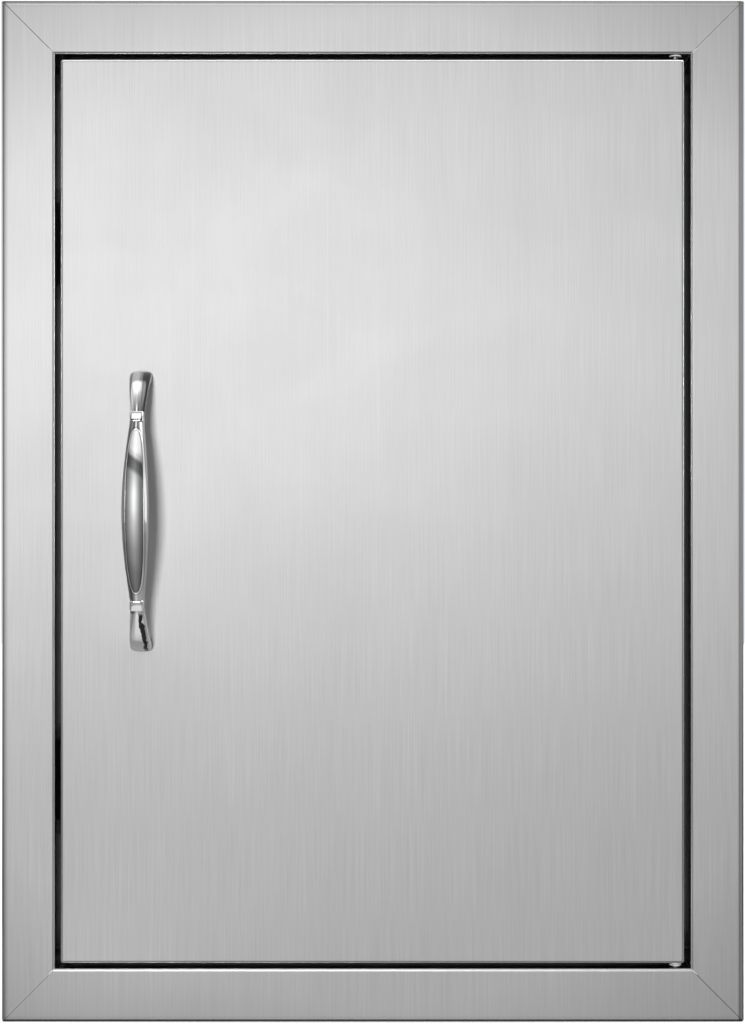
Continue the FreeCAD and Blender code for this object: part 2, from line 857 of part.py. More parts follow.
def make_lower_bracket():
    body = new_body("lower_pivot_bracket")
    floor = "-Places.top_wall"
    add_web(body, floor, f"{floor} + Sizes.lower_web_height")
    ear_top = f"{floor} + Sizes.bracket_gauge"
    add(body, "XY", floor, ear_top, [ear_outline], [(pivot, "Places.sleeve_hole")])
    round_edges(body, "Places.bracket_bend", edge_test("x", y=["Places.skin_inside"], z=[floor]))


make_upper_bracket()
make_lower_bracket()
make_flanged_bushing(
    "upper_guide_bushing",
    "Places.upper_ear - Sizes.flange_height",
    "Places.upper_ear",
    "Places.door_top",
)
make_flanged_bushing(
    "lower_pivot_bushing",
    "-Places.door_top - Sizes.flange_height",
    "-Places.door_top",
    "-Places.top_wall + Sizes.bracket_gauge + Sizes.lower_sleeve_reach",
)

# Sprung release pin

turned(
    "release_pin",
    [
        ("0", "Places.lever_bottom - Sizes.spigot_radius / 4"),
        ("Sizes.spigot_radius", "Places.lever_bottom - Sizes.spigot_radius / 4"),
        ("Sizes.spigot_radius", "Places.lever_top"),
        ("Sizes.pin_radius", "Places.lever_top"),
        ("Sizes.pin_radius", "Places.clip_bottom"),
        ("Sizes.clip_groove", "Places.clip_bottom"),
        ("Sizes.clip_groove", "Places.clip_top"),
        ("Sizes.pin_radius", "Places.clip_top"),
        ("Sizes.pin_radius", "Places.pin_top - Sizes.pin_radius"),
        ("Sizes.pin_radius / 2", "Places.pin_top"),
        ("0", "Places.pin_top"),
    ],
)


def make_release_lever():
    """A bent strip: a hub on the pin, an arm out through the liner, and a tab for a finger."""
    body = new_body("release_lever")
    x, y = pivot
    arm = [
        (f"{x} + Sizes.lever_hub", f"{y} - Sizes.lever_hub"),
        (f"{x} + Sizes.lever_hub", f"{y} + Sizes.lever_hub"),
        ("Places.lever_right", f"{y} + Sizes.lever_hub"),
        ("Places.lever_right", "Places.lever_back"),
        ("Places.lever_left", "Places.lever_back"),
        ("Places.lever_left", f"{y} - Sizes.lever_hub"),
    ]
    add(body, "XY", "Places.lever_bottom", "Places.lever_top", [arm], [(pivot, "Sizes.spigot_radius")])
    tab_front = "Places.lever_back - Sizes.lever_gauge"
    tab_low = "Places.lever_bottom - Sizes.lever_tab"
    tab = rectangle("Places.lever_left", tab_low, "Places.lever_right", "Places.lever_bottom")
    add(body, "XZ", tab_front, "Places.lever_back", [tab])
    bend = edge_test("x", y=["Places.lever_back"], z=["Places.lever_top"])
    round_edges(body, "Sizes.lever_gauge", bend)
    round_edges(body, "Sizes.lever_gauge", edge_test("y", z=[tab_low]))
    round_edges(body, "Sizes.lever_gauge", edge_test("z", x=["Places.lever_left"], y=[arm[-1][1]]))


def make_pin_clip():
    """An open ring that snaps into the pin's groove."""
    body = new_body("pin_clip")
    ring = [(pivot, "Sizes.clip_radius"), (pivot, "Sizes.clip_groove")]
    add(body, "XY", "Places.clip_bottom", "Places.clip_top", circles=ring)
    x, y = pivot
    mouth = rectangle(
        f"{x} - Sizes.clip_groove * 0.8",
        y,
        f"{x} + Sizes.clip_groove * 0.8",
        f"{y} + 2 * Sizes.clip_radius",
    )
    margin = "Sizes.clip_height"
    cut(body, "XY", f"Places.clip_bottom - {margin}", f"Places.clip_top + {margin}", [mouth])


def arc_from(start, direction_point, end):
    """The arc from start to end whose end tangents meet at direction_point."""
    half_chord = (end - start).Length / 2
    weight = half_chord / (direction_point - start).Length
    middle = (start + end + direction_point * (2 * weight)) / (2 + 2 * weight)
    return Part.Arc(start, middle, end).toShape()


def make_release_spring():
    """A compression spring of square wire round the pin, from the lower ear up to the clip.

    Each quarter turn of the helix is two arcs that share a tangent.
    """
    radius = value("Sizes.spring_radius")
    wire = value("Sizes.spring_wire")
    low = value("Places.spring_seat") + wire / 2
    high = value("Places.clip_bottom - Sizes.running_gap") - wire / 2
    turns = value("Sizes.spring_turns")
    rise = (high - low) / turns / math.tau
    centre = Vector(value(pivot[0]), value(pivot[1]), low)

    def point(angle):
        return centre + Vector(radius * math.cos(angle), radius * math.sin(angle), rise * angle)

    def tangent(angle):
        return Vector(-radius * math.sin(angle), radius * math.cos(angle), rise).normalize()

    edges = []
    step = math.pi / 2
    for quarter in range(round(turns * 4)):
        start, end = point(quarter * step), point((quarter + 1) * step)
        leave, arrive = tangent(quarter * step), tangent((quarter + 1) * step)
        chord = end - start
        both = leave + arrive
        bend = 2 * (1 - leave.dot(arrive))
        across = chord.dot(both)
        reach = (math.sqrt(across**2 + bend * chord.dot(chord)) - across) / bend
        first, second = start + leave * reach, end - arrive * reach
        joint = (first + second) / 2
        edges += [arc_from(start, first, joint), arc_from(joint, second, end)]
    path = Part.Wire(edges)
    outwards = Vector(wire / 2, 0, 0)
    upwards = tangent(0).cross(outwards)
    corners = [point(0) + outwards * a + upwards * b for a, b in ((1, 1), (-1, 1), (-1, -1), (1, -1))]
    section = Part.makePolygon(corners, True)
    pipe = Part.BRepOffsetAPI.MakePipeShell(path)
    pipe.add(section)
    pipe.build()
    pipe.makeSolid()
    spring = doc.addObject("Part::Feature", "release_spring")
    spring.Label = "release_spring"
    spring.Shape = pipe.shape()
    spring.Placement = Placement()
    nodes.append(spring)
    print("spring: gap between turns", round(rise * math.tau - wire, 2), "mm")


make_release_lever()
make_pin_clip()
make_release_spring()

# Strike plates for the catches


def make_strike(prefix, side):
    """A flat steel plate, spot-welded to the liner in front of a catch's pole plates."""
    z = f"{side} * Places.catch_z"
    plate = new_body(f"{prefix}_strike_plate")
    outline = centred("Sizes.strike_width", "Sizes.strike_height", "Places.pole_x", z)
    add(plate, "XZ", "Places.door_back", "Places.door_back + Sizes.strike_gauge", [outline])
    round_edges(plate, "Sizes.strike_gauge", edge_test("y"))


make_strike("upper", 1)
make_strike("lower", -1)

# Handle: one casting, with a flared foot at each end, a flat collar, and a bow whose front
# carries a raised oval rim


def station(z, standoff, angle, half_width, half_thickness):
    """An upright ellipse, turned about X by the angle in degrees."""
    ellipse = doc.addObject("Part::Ellipse", "Station")
    ellipse.Placement = Placement(Vector(), Rotation(Vector(1, 0, 0), 1))
    bind(
        ellipse,
        {
            "MajorRadius": half_width,
            "MinorRadius": half_thickness,
            "Placement.Base.x": "Places.handle_x",
            "Placement.Base.y": f"Places.front - ({standoff})",
            "Placement.Base.z": z,
            "Placement.Rotation.Angle": f"({angle}) * 1deg",
        },
    )
    return ellipse


def bow_station(share, thicker="0"):
    """A section of the bow: share is its place between the middle, 0, and a collar, 1 or -1."""
    swell = f"cos({abs(share)} * 90deg)"
    rise = "(Sizes.bow_standoff - Sizes.collar_standoff)"
    slope = f"atan({rise} * pi / 2 / Sizes.collar_place * sin({share} * 90deg)) / 1deg"
    width = f"(Sizes.bow_end_width + (Sizes.bow_width - Sizes.bow_end_width) * {swell}) / 2"
    growth = f"(Sizes.bow_thickness - Sizes.bow_end_thickness) * {swell}"
    return station(
        f"{share} * Sizes.collar_place",
        f"Sizes.collar_standoff + {rise} * {swell}",
        f"-({slope})",
        f"{width} + {thicker}",
        f"(Sizes.bow_end_thickness + {growth}) / 2 + {thicker}",
    )


def leg_stations(side):
    """The leg, from under the door's face up to the collar, along a bend with one turning point.

    It widens to its foot, but keeps its thickness.
    """
    inset = "Sizes.leg_turn_inset"
    rest = "(Places.foot_z - Sizes.leg_turn_inset - Sizes.collar_place)"
    rise = "Sizes.leg_turn_standoff"
    last_rise = "(Sizes.collar_standoff - Sizes.leg_turn_standoff)"
    sections = []
    for share in (-0.2, 0.1, 0.4, 0.7, 1):
        bend = max(share, 0)
        drop = f"{2 * share - bend**2} * {inset} + {bend**2} * {rest}"
        lift = f"{2 * share - bend**2} * {rise} + {bend**2} * {last_rise}"
        along = f"({1 - bend} * {inset} + {bend} * {rest})"
        outwards = f"({1 - bend} * {rise} + {bend} * {last_rise})"
        angle = f"atan2({outwards}; {along}) / 1deg"
        widening = f"(Sizes.foot_width - Sizes.bow_end_width) * cos({bend} * 90deg)"
        half_width = f"(Sizes.bow_end_width + {widening}) / 2"
        half_thickness = "Sizes.foot_thickness / 2"
        place = f"{side} * (Places.foot_z - ({drop}))"
        sections.append(station(place, lift, f"{-side} * {angle}", half_width, half_thickness))
    return sections


def make_collar(side):
    body = doc.addObject("PartDesign::Body", "Collar")
    half = "Sizes.collar_height / 2"
    add(body, "XY", f"-{half}", half, [centred("Sizes.collar_width", "Sizes.collar_thickness")])
    round_edges(body, "Sizes.collar_width / 6", edge_test("z"))
    body.Placement = Placement(Vector(), Rotation(Vector(1, 0, 0), 1))
    bind(
        body,
        {
            "Placement.Base.x": "Places.handle_x",
            "Placement.Base.y": "Places.front - Sizes.collar_standoff",
            "Placement.Base.z": f"{side} * Sizes.collar_place",
            "Placement.Rotation.Angle": f"{-side} * Sizes.collar_angle * 1deg",
        },
    )
    return body


def loft(sections):
    body = doc.addObject("Part::Loft", "Loft")
    body.Sections = sections
    body.Solid = True
    return body


def oval_prism(trim):
    """An upright oval, extruded forwards through the bow."""
    oval = doc.addObject("Part::Ellipse", "Oval")
    turn = Rotation(Vector(0, 0, 1), Vector(1, 0, 0), Vector(0, 1, 0), "XYZ")
    oval.Placement = Placement(Vector(), turn)
    bind(
        oval,
        {
            "MajorRadius": f"Sizes.rim_length / 2 - {trim}",
            "MinorRadius": f"Sizes.rim_breadth / 2 - {trim}",
            "Placement.Base.x": "Places.handle_x",
            "Placement.Base.y": "Places.front - Sizes.bow_standoff - Sizes.bow_thickness",
        },
    )
    prism = doc.addObject("Part::Extrusion", "Prism")
    prism.Base = oval
    prism.DirMode = "Custom"
    prism.Dir = Vector(0, 1, 0)
    prism.Solid = True
    prism.setExpression("LengthFwd", "Sizes.bow_thickness + Sizes.bow_standoff - Sizes.collar_standoff")
    return prism


def boolean(kind, label, base, tool):
    item = doc.addObject(f"Part::{kind}", label)
    item.Base = base
    item.Tool = tool
    return item


def make_handle():
    shares = [0.75, 0.4, 0, -0.4, -0.75]
    bow = [bow_station(share) for share in shares]
    body = loft(leg_stations(1) + bow + list(reversed(leg_stations(-1))))
    raised = loft([bow_station(share, "Sizes.rim_height") for share in shares])
    ring = boolean("Cut", "Ring", oval_prism("0"), oval_prism("Sizes.rim_width"))
    rim = boolean("Common", "Rim", raised, ring)
    casting = doc.addObject("Part::MultiFuse", "Casting")
    casting.Shapes = [body, rim, make_collar(1), make_collar(-1)]
    tools = []
    below = doc.addObject("Part::Box", "BehindDoorFace")
    bind(
        below,
        {
            "Length": "4 * Sizes.bow_width",
            "Width": "2 * Sizes.foot_width",
            "Height": "2 * Sizes.handle_hole_spacing",
            "Placement.Base.x": "Places.handle_x - 2 * Sizes.bow_width",
            "Placement.Base.y": "Places.front",
            "Placement.Base.z": "-Sizes.handle_hole_spacing",
        },
    )
    tools.append(below)
    for x, z in handle_holes:
        hole = doc.addObject("Part::Cylinder", "ScrewBore")
        hole.Placement = Placement(Vector(), Rotation(Vector(1, 0, 0), 90))
        bind(
            hole,
            {
                "Radius": "Sizes.handle_screw_radius + Sizes.seat_clearance",
                "Height": "Sizes.handle_screw_reach + 2 * Sizes.skin_gauge",
                "Placement.Base.x": x,
                "Placement.Base.y": "Places.skin_inside",
                "Placement.Base.z": z,
            },
        )
        tools.append(hole)
    cutters = doc.addObject("Part::MultiFuse", "Cutters")
    cutters.Shapes = tools
    handle = boolean("Cut", "handle", casting, cutters)
    handle.Label = "handle"
    nodes.append(handle)
    doc.recompute()


def make_handle_fixings():
    plate = new_body("handle_backing_plate")
    back = "Places.skin_inside + Sizes.backing_gauge"
    add(
        plate,
        "XZ",
        "Places.skin_inside",
        back,
        [centred("Sizes.backing_width", "Sizes.backing_length", "Places.handle_x")],
        [(spot, "Sizes.handle_screw_radius + Sizes.hole_clearance") for spot in handle_holes],
    )
    round_edges(plate, "2 * Sizes.backing_gauge", edge_test("y"))
    screws = new_body("handle_screws")
    seat = back
    tip = "Places.front - Sizes.handle_screw_reach"
    head = f"{seat} + Sizes.handle_screw_head_height"
    for x, z in handle_holes:
        revolve(
            screws,
            "Y",
            (x, "0", z),
            [
                ("0", tip),
                ("Sizes.handle_screw_radius", tip),
                ("Sizes.handle_screw_radius", seat),
                ("Sizes.handle_screw_head_radius", seat),
                ("Sizes.handle_screw_head_radius", head),
                ("0", head),
            ],
        )


make_handle()
make_handle_fixings()

# Check and write


def check_model():
    for item in doc.Objects:
        if "Invalid" in item.State or "Error" in item.State:
            raise ValueError(f"{item.Label} failed: {item.State}")
    for item in nodes:
        if item.Shape.isNull() or not item.Shape.isValid():
            raise ValueError(f"the shape of {item.Label} isn't valid")


doc.recompute()
check_model()
os.makedirs("parts", exist_ok=True)
triangles = 0
for item in nodes:
    item.Shape.exportStep(f"parts/{item.Label}.step")
    triangles += len(item.Shape.tessellate(0.1)[1])
print(len(nodes), "nodes,", triangles, "triangles")
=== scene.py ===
import math

import bmesh
import bpy
from mathutils import Matrix, Vector
from mathutils.bvhtree import BVHTree


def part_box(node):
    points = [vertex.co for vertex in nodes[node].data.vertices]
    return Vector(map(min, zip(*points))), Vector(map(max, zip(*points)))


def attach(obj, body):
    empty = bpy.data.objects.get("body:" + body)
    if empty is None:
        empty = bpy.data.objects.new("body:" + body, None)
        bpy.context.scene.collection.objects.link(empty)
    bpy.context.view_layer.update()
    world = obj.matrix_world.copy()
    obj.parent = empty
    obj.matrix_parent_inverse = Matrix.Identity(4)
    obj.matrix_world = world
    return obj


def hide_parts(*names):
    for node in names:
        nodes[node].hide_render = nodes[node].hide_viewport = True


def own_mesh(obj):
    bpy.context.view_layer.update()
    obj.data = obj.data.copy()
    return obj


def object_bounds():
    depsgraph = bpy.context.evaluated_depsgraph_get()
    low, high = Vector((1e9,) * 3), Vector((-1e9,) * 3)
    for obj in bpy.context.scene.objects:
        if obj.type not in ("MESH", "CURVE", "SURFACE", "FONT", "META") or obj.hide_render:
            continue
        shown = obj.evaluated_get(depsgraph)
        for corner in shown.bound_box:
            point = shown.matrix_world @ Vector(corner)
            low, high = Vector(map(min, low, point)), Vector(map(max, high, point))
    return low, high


# Looks for the access door of an outdoor kitchen island.
# Metres. X runs to the hinge side, Y into the wall, Z up. The door's front faces -Y.

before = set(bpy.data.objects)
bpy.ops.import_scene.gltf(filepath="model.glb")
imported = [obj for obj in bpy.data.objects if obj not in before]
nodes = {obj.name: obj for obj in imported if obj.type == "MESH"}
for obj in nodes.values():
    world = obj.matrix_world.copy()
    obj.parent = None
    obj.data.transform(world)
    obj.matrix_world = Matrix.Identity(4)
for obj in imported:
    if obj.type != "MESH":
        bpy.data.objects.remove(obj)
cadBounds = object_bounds()
mm = 0.001
print("frame loaded:", len(nodes), "nodes")


# small helpers for node trees

def addNode(tree, kind, inputs=None, **settings):
    node = tree.nodes.new(kind)
    for key, setting in settings.items():
        setattr(node, key, setting)
    for key, source in (inputs or {}).items():
        if isinstance(source, bpy.types.NodeSocket):
            tree.links.new(source, node.inputs[key])
        else:
            node.inputs[key].default_value = source
    return node


def math2(tree, operation, first, second=0.0, clamp=False):
    node = addNode(tree, "ShaderNodeMath", {0: first, 1: second}, operation=operation, use_clamp=clamp)
    return node.outputs[0]


def mapRange(tree, source, fromLow, fromHigh, toLow, toHigh):
    inputs = {"Value": source, "From Min": fromLow, "From Max": fromHigh, "To Min": toLow, "To Max": toHigh}
    return addNode(tree, "ShaderNodeMapRange", inputs).outputs["Result"]


def mixValues(tree, factor, low, high):
    return addNode(tree, "ShaderNodeMix", {0: factor, 2: low, 3: high}, data_type="FLOAT").outputs[0]


def splitVector(tree, vector):
    return addNode(tree, "ShaderNodeSeparateXYZ", {0: vector}).outputs


def joinVector(tree, x, y, z):
    return addNode(tree, "ShaderNodeCombineXYZ", {"X": x, "Y": y, "Z": z}).outputs[0]


def vectorMath(tree, operation, first, second=(0.0, 0.0, 0.0)):
    return addNode(tree, "ShaderNodeVectorMath", {0: first, 1: second}, operation=operation).outputs[0]


def lengthOf(tree, vector):
    return addNode(tree, "ShaderNodeVectorMath", {0: vector}, operation="LENGTH").outputs["Value"]


# a level read off a list of (place, level) stops, level beyond the first and the last
def readCurve(tree, source, stops):
    low, high = stops[0][0], stops[-1][0]
    share = mapRange(tree, source, low, high, 0.0, 1.0)
    node = addNode(tree, "ShaderNodeValToRGB", {0: share})
    ramp = node.color_ramp
    ramp.interpolation = "EASE"
    while len(ramp.elements) < len(stops):
        ramp.elements.new(0.5)
    for element, (place, level) in zip(ramp.elements, stops):
        element.position = (place - low) / (high - low)
        element.color = (level / 2, level / 2, level / 2, 1)
    return math2(tree, "MULTIPLY", node.outputs["Color"], 2.0)


# 1 on faces that look to the front, 0 on the sides and the back
def facingFront(tree, coords):
    facing = splitVector(tree, coords.outputs["Normal"])
    return mapRange(tree, facing["Y"], -0.15, -0.05, 1.0, 0.0)


def newGroup(name, inputs, outputs):
    group = bpy.data.node_groups.new(name, "ShaderNodeTree")
    for label, default in inputs.items():
        socket = group.interface.new_socket(label, in_out="INPUT", socket_type="NodeSocketFloat")
        socket.default_value = default
    for label in outputs:
        group.interface.new_socket(label, in_out="OUTPUT", socket_type="NodeSocketFloat")
    start = group.nodes.new("NodeGroupInput")
    end = group.nodes.new("NodeGroupOutput")
    return group, start, end


def useGroup(tree, group, **inputs):
    node = tree.nodes.new("ShaderNodeGroup")
    node.node_tree = group
    for label, setting in inputs.items():
        node.inputs[label].default_value = setting
    return node


# brushed grain: fine upright scratches, broader soft bands between them, a few bright lines and short smears
grain = {
    "lineShare": 0.45,  # how coarse the bright lines are beside the scratches
    "lineRange": (0.66, 0.78),
    "smearScale": 330.0,
    "smearStretch": 0.09,
}


def makeBrushedGroup():
    group, start, end = newGroup(
        "brushedGrain",
        {"Across": 900.0, "Stretch": 0.012, "Band": 70.0},
        ("Scratch", "Bands", "Line", "Smear"),
    )
    parts = splitVector(group, addNode(group, "ShaderNodeTexCoord").outputs["Object"])
    tall = math2(group, "MULTIPLY", parts["Z"], start.outputs["Stretch"])
    squeezed = joinVector(group, parts["X"], parts["Y"], tall)
    shorter = math2(group, "MULTIPLY", parts["Z"], grain["smearStretch"])
    stroke = joinVector(group, parts["X"], parts["Y"], shorter)
    lineScale = math2(group, "MULTIPLY", start.outputs["Across"], grain["lineShare"])
    noises = {
        "Scratch": {"Vector": squeezed, "Scale": start.outputs["Across"], "Detail": 3.0, "Roughness": 0.65},
        "Bands": {"Vector": squeezed, "Scale": start.outputs["Band"], "Detail": 2.0, "Roughness": 0.5},
        "Line": {"Vector": squeezed, "Scale": lineScale, "Detail": 1.0},
        "Smear": {"Vector": stroke, "Scale": grain["smearScale"], "Detail": 2.0, "Roughness": 0.6},
    }
    for label, inputs in noises.items():
        level = addNode(group, "ShaderNodeTexNoise", inputs).outputs["Fac"]
        if label == "Line":
            level = mapRange(group, level, *grain["lineRange"], 0.0, 1.0)
        group.links.new(level, end.inputs[label])
    return group


speckFineness = 45.0  # how many specks lie across one cloudy mark


# cloudy marks of handling, the same all round a piece
def makeMarksGroup():
    group, start, end = newGroup("handlingMarks", {"Size": 16.0}, ("Marks", "Specks"))
    coords = addNode(group, "ShaderNodeTexCoord").outputs["Object"]
    cloudy = {"Detail": 5.0, "Roughness": 0.55, "Distortion": 0.4}
    cloud = addNode(group, "ShaderNodeTexNoise", {"Vector": coords, "Scale": start.outputs["Size"], **cloudy})
    speckScale = math2(group, "MULTIPLY", start.outputs["Size"], speckFineness)
    specks = addNode(group, "ShaderNodeTexNoise", {"Vector": coords, "Scale": speckScale, "Detail": 2.0})
    group.links.new(cloud.outputs["Fac"], end.inputs["Marks"])
    group.links.new(specks.outputs["Fac"], end.inputs["Specks"])
    return group


gapShadeRange = (0.30, 0.64)  # shares of open view at which a spot counts as shut in and as open


# how open a spot is: painted shade that darkens the colour in narrow gaps and corners
def makeGapShadeGroup():
    group, start, end = newGroup("gapShade", {"Reach": 0.009, "Floor": 0.1}, ("Open",))
    reach = addNode(group, "ShaderNodeAmbientOcclusion", {"Distance": start.outputs["Reach"]}, samples=8)
    openness = mapRange(group, reach.outputs["AO"], *gapShadeRange, start.outputs["Floor"], 1.0)
    group.links.new(openness, end.inputs["Open"])
    return group


# painted highlight and shade by how squarely a spot faces the front or the back: for most folds, and for
# those that face up
foldPaintedLight = {
    "front": ((0.0, 1.0), (0.30, 1.0), (0.55, 1.35), (0.80, 1.25), (0.93, 0.50), (0.985, 0.70), (1.0, 1.0)),
    "upper": (
        (0.0, 1.0), (0.25, 0.60), (0.55, 0.60), (0.80, 0.90), (0.88, 1.50),
        (0.97, 1.50), (0.988, 1.05), (0.995, 0.86), (1.0, 1.0),
    ),
}


# painted light on folded edges: a painted dark line where a face starts to bend, then a painted bright one,
# brighter where it faces up
def makeFoldLightGroup():
    group, start, end = newGroup("foldHighlightsAndShade", {}, ("Tone", "Fold"))
    facing = splitVector(group, addNode(group, "ShaderNodeTexCoord").outputs["Normal"])
    front = math2(group, "ABSOLUTE", facing["Y"])
    plain = readCurve(group, front, foldPaintedLight["front"])
    raised = readCurve(group, front, foldPaintedLight["upper"])
    upwards = mapRange(group, facing["Z"], 0.02, 0.12, 0.0, 1.0)
    group.links.new(mixValues(group, upwards, plain, raised), end.inputs["Tone"])
    group.links.new(mapRange(group, front, 0.90, 0.995, 1.0, 0.0), end.inputs["Fold"])
    return group


# painted shade and highlight across a mitre by distance in metres: a darker painted line at two corners, and
# a painted line that catches the light at the other two
mitrePaintedLight = {
    "dark": ((-0.0012, 1.0), (-0.0006, 1.0), (-0.00025, 0.45), (0.0001, 0.45), (0.0004, 1.12), (0.0010, 1.0)),
    "light": ((-0.0012, 1.0), (-0.0005, 0.92), (-0.0002, 0.75), (0.0001, 1.15), (0.0005, 1.2), (0.0010, 1.0)),
}

# painted highlight and shade lines beside the frame's four outer edges, by distance in mm
edgePaintedLight = {
    "left": (
        (0.0, 1.0), (0.6, 1.0), (1.1, 0.95), (1.64, 0.58), (2.2, 0.60), (2.7, 0.77), (3.3, 0.89), (4.0, 1.0),
    ),
    "right": (
        (0.0, 0.5), (0.3, 0.3), (0.8, 0.35), (1.2, 0.8), (1.6, 0.95),
        (2.0, 0.6), (2.4, 0.33), (2.9, 0.55), (3.4, 0.9), (4.0, 1.0),
    ),
    "top": (
        (0.0, 0.3), (1.2, 0.3), (1.5, 0.8), (1.9, 1.15), (2.5, 1.1), (3.0, 0.87), (3.6, 0.97), (4.0, 1.0),
    ),
    "bottom": ((0.0, 1.0), (0.7, 1.8), (1.26, 1.5), (1.8, 1.15), (2.4, 1.0), (4.0, 1.0)),
}
# painted shade: the frame's front darkens towards its corners
cornerPaintedShade = {"from": 0.27, "to": 0.345, "tone": 0.80}  # metres from the middle of the door


# the frame's front: a fine painted dark line at two mitre corners and a lighter painted highlight at the
# other two, painted highlight and shade lines along its outer edges, and painted shade towards the corners
def makeFramePaintedLinesGroup():
    group, start, end = newGroup("framePaintedLines", {"Wide": 0.2, "High": 0.28}, ("Tone",))
    coords = addNode(group, "ShaderNodeTexCoord")
    place = coords.outputs["Object"]
    parts = splitVector(group, place)
    sideways = math2(group, "SUBTRACT", math2(group, "ABSOLUTE", parts["X"]), start.outputs["Wide"])
    upwards = math2(group, "SUBTRACT", math2(group, "ABSOLUTE", parts["Z"]), start.outputs["High"])
    off = math2(group, "SUBTRACT", sideways, upwards)
    dark = readCurve(group, off, mitrePaintedLight["dark"])
    light = readCurve(group, off, mitrePaintedLight["light"])
    corner = math2(group, "MULTIPLY", parts["X"], parts["Z"])
    turned = math2(group, "GREATER_THAN", corner, 0.0)
    line = mixValues(group, turned, dark, light)
    forwards = facingFront(group, coords)
    for side, stops in edgePaintedLight.items():
        axis, reach = ("X", "Wide") if side in ("left", "right") else ("Z", "High")
        sign = 1.0 if side in ("left", "bottom") else -1.0
        inwards = math2(group, "ADD", math2(group, "MULTIPLY", parts[axis], sign), start.outputs[reach])
        edge = readCurve(group, math2(group, "MULTIPLY", inwards, 1000.0), stops)
        line = math2(group, "MULTIPLY", line, mixValues(group, forwards, 1.0, edge))
    # painted shade towards the corners
    middle = lengthOf(group, place)
    cornerShaded = mapRange(group, middle, cornerPaintedShade["from"], cornerPaintedShade["to"], 1.0, cornerPaintedShade["tone"])
    group.links.new(math2(group, "MULTIPLY", line, cornerShaded), end.inputs["Tone"])
    return group


brushedGrain = makeBrushedGroup()
foldHighlightsAndShade = makeFoldLightGroup()
framePaintedLines = makeFramePaintedLinesGroup()
handlingMarks = makeMarksGroup()
gapShade = makeGapShadeGroup()


def startMaterial(name):
    material = bpy.data.materials.new(name)
    material.use_nodes = True
    tree = material.node_tree
    return material, tree, tree.nodes["Principled BSDF"]


def mixColours(tree, factor, dark, light):
    node = addNode(tree, "ShaderNodeMix", {0: factor, 6: (*dark, 1.0), 7: (*light, 1.0)}, data_type="RGBA")
    return node.outputs[2]


def scaleColour(tree, colour, factor):
    inputs = {0: 1.0, 6: colour, 7: factor}
    return addNode(tree, "ShaderNodeMix", inputs, data_type="RGBA", blend_type="MULTIPLY").outputs[2]


# roughness a little under and over its middle, by a pattern's level
def varyRough(tree, level, middle, change):
    return mapRange(tree, level, 0.3, 0.7, middle - change, middle + change)


def addBump(tree, shader, height, distance):
    bump = addNode(tree, "ShaderNodeBump", {"Height": height, "Distance": distance, "Strength": 1.0})
    tree.links.new(bump.outputs["Normal"], shader.inputs["Normal"])


almostUpright = (0.0, 0.02, 1.0)  # leans a little, so that level faces have a way to spread too


# the grain is upright, so the gloss spreads sideways on every upright face
def spreadSideways(tree, shader, amount):
    facing = addNode(tree, "ShaderNodeNewGeometry").outputs["Normal"]
    tree.links.new(vectorMath(tree, "CROSS_PRODUCT", facing, almostUpright), shader.inputs["Tangent"])
    shader.inputs["Anisotropic"].default_value = amount


# how much of the sheet's tone comes from each part of the grain, and the range it is stretched from
grainMix = {"Scratch": 0.82, "Bands": 0.10, "Smear": 0.08}
grainRange = (0.36, 0.64)
lineStrength = 0.35

faceSteel = {
    "dark": (0.607, 0.609, 0.612),
    "light": (0.690, 0.690, 0.688),
    "roughness": 0.57,
    "scratchRough": 0.035,  # how much the scratches and the marks change the roughness
    "markRough": 0.015,
    "scratchDepth": 0.000006,
    "spread": 0.45,
    "gapShadeFloor": 0.05,
    "foldRough": 0.24,
    "flatTint": (0.44, 0.44, 0.44, 1.0),
}


def makeBrushedSteel(name, look, across=1500.0, band=60.0, paintFrameLines=False):
    material, tree, shader = startMaterial(name)
    brushed = useGroup(tree, brushedGrain, Across=across, Band=band).outputs
    marks = useGroup(tree, handlingMarks)
    gaps = useGroup(tree, gapShade, Floor=look["gapShadeFloor"])
    folds = useGroup(tree, foldHighlightsAndShade)
    tone = 0.0
    for label, share in grainMix.items():
        tone = math2(tree, "ADD", math2(tree, "MULTIPLY", brushed[label], share), tone)
    tone = mapRange(tree, tone, *grainRange, 0.0, 1.0)
    tone = math2(tree, "ADD", tone, math2(tree, "MULTIPLY", brushed["Line"], lineStrength), clamp=True)
    colour = mixColours(tree, tone, look["dark"], look["light"])
    # the sheet's colour is scaled by painted shade in narrow gaps, painted highlight and shade lines at the
    # folds, and on the frame by its painted lines
    level = math2(tree, "MULTIPLY", gaps.outputs["Open"], folds.outputs["Tone"])
    if paintFrameLines:
        corner = useGroup(tree, framePaintedLines, Wide=cadBounds[1].x, High=cadBounds[1].z)
        level = math2(tree, "MULTIPLY", level, corner.outputs["Tone"])
    tree.links.new(scaleColour(tree, colour, level), shader.inputs["Base Color"])
    rough = varyRough(tree, brushed["Scratch"], look["roughness"], look["scratchRough"] / 2)
    marked = mapRange(tree, marks.outputs["Marks"], 0.35, 0.65, -look["markRough"] / 2, look["markRough"] / 2)
    rough = math2(tree, "ADD", rough, marked)
    worn = mixValues(tree, folds.outputs["Fold"], rough, look["foldRough"])
    tree.links.new(worn, shader.inputs["Roughness"])
    shader.inputs["Metallic"].default_value = 1.0
    shader.inputs["Specular Tint"].default_value = look["flatTint"]  # dulls flat angles, and so the gaps
    spreadSideways(tree, shader, look["spread"])
    addBump(tree, shader, brushed["Scratch"], look["scratchDepth"])
    return material


innerSteel = {
    "dark": (0.50, 0.502, 0.506),
    "light": (0.58, 0.58, 0.58),
    "roughness": 0.42,
    "scratchRough": 0.12,
    "markRough": 0.12,
    "scratchDepth": 0.000008,
    "spread": 0.3,
    "gapShadeFloor": 0.1,
    "foldRough": 0.34,
    "flatTint": (0.44, 0.44, 0.44, 1.0),
}


metalGapShadeFloor = 0.25
speckRough = {"metal": 0.06, "plastic": 0.08}
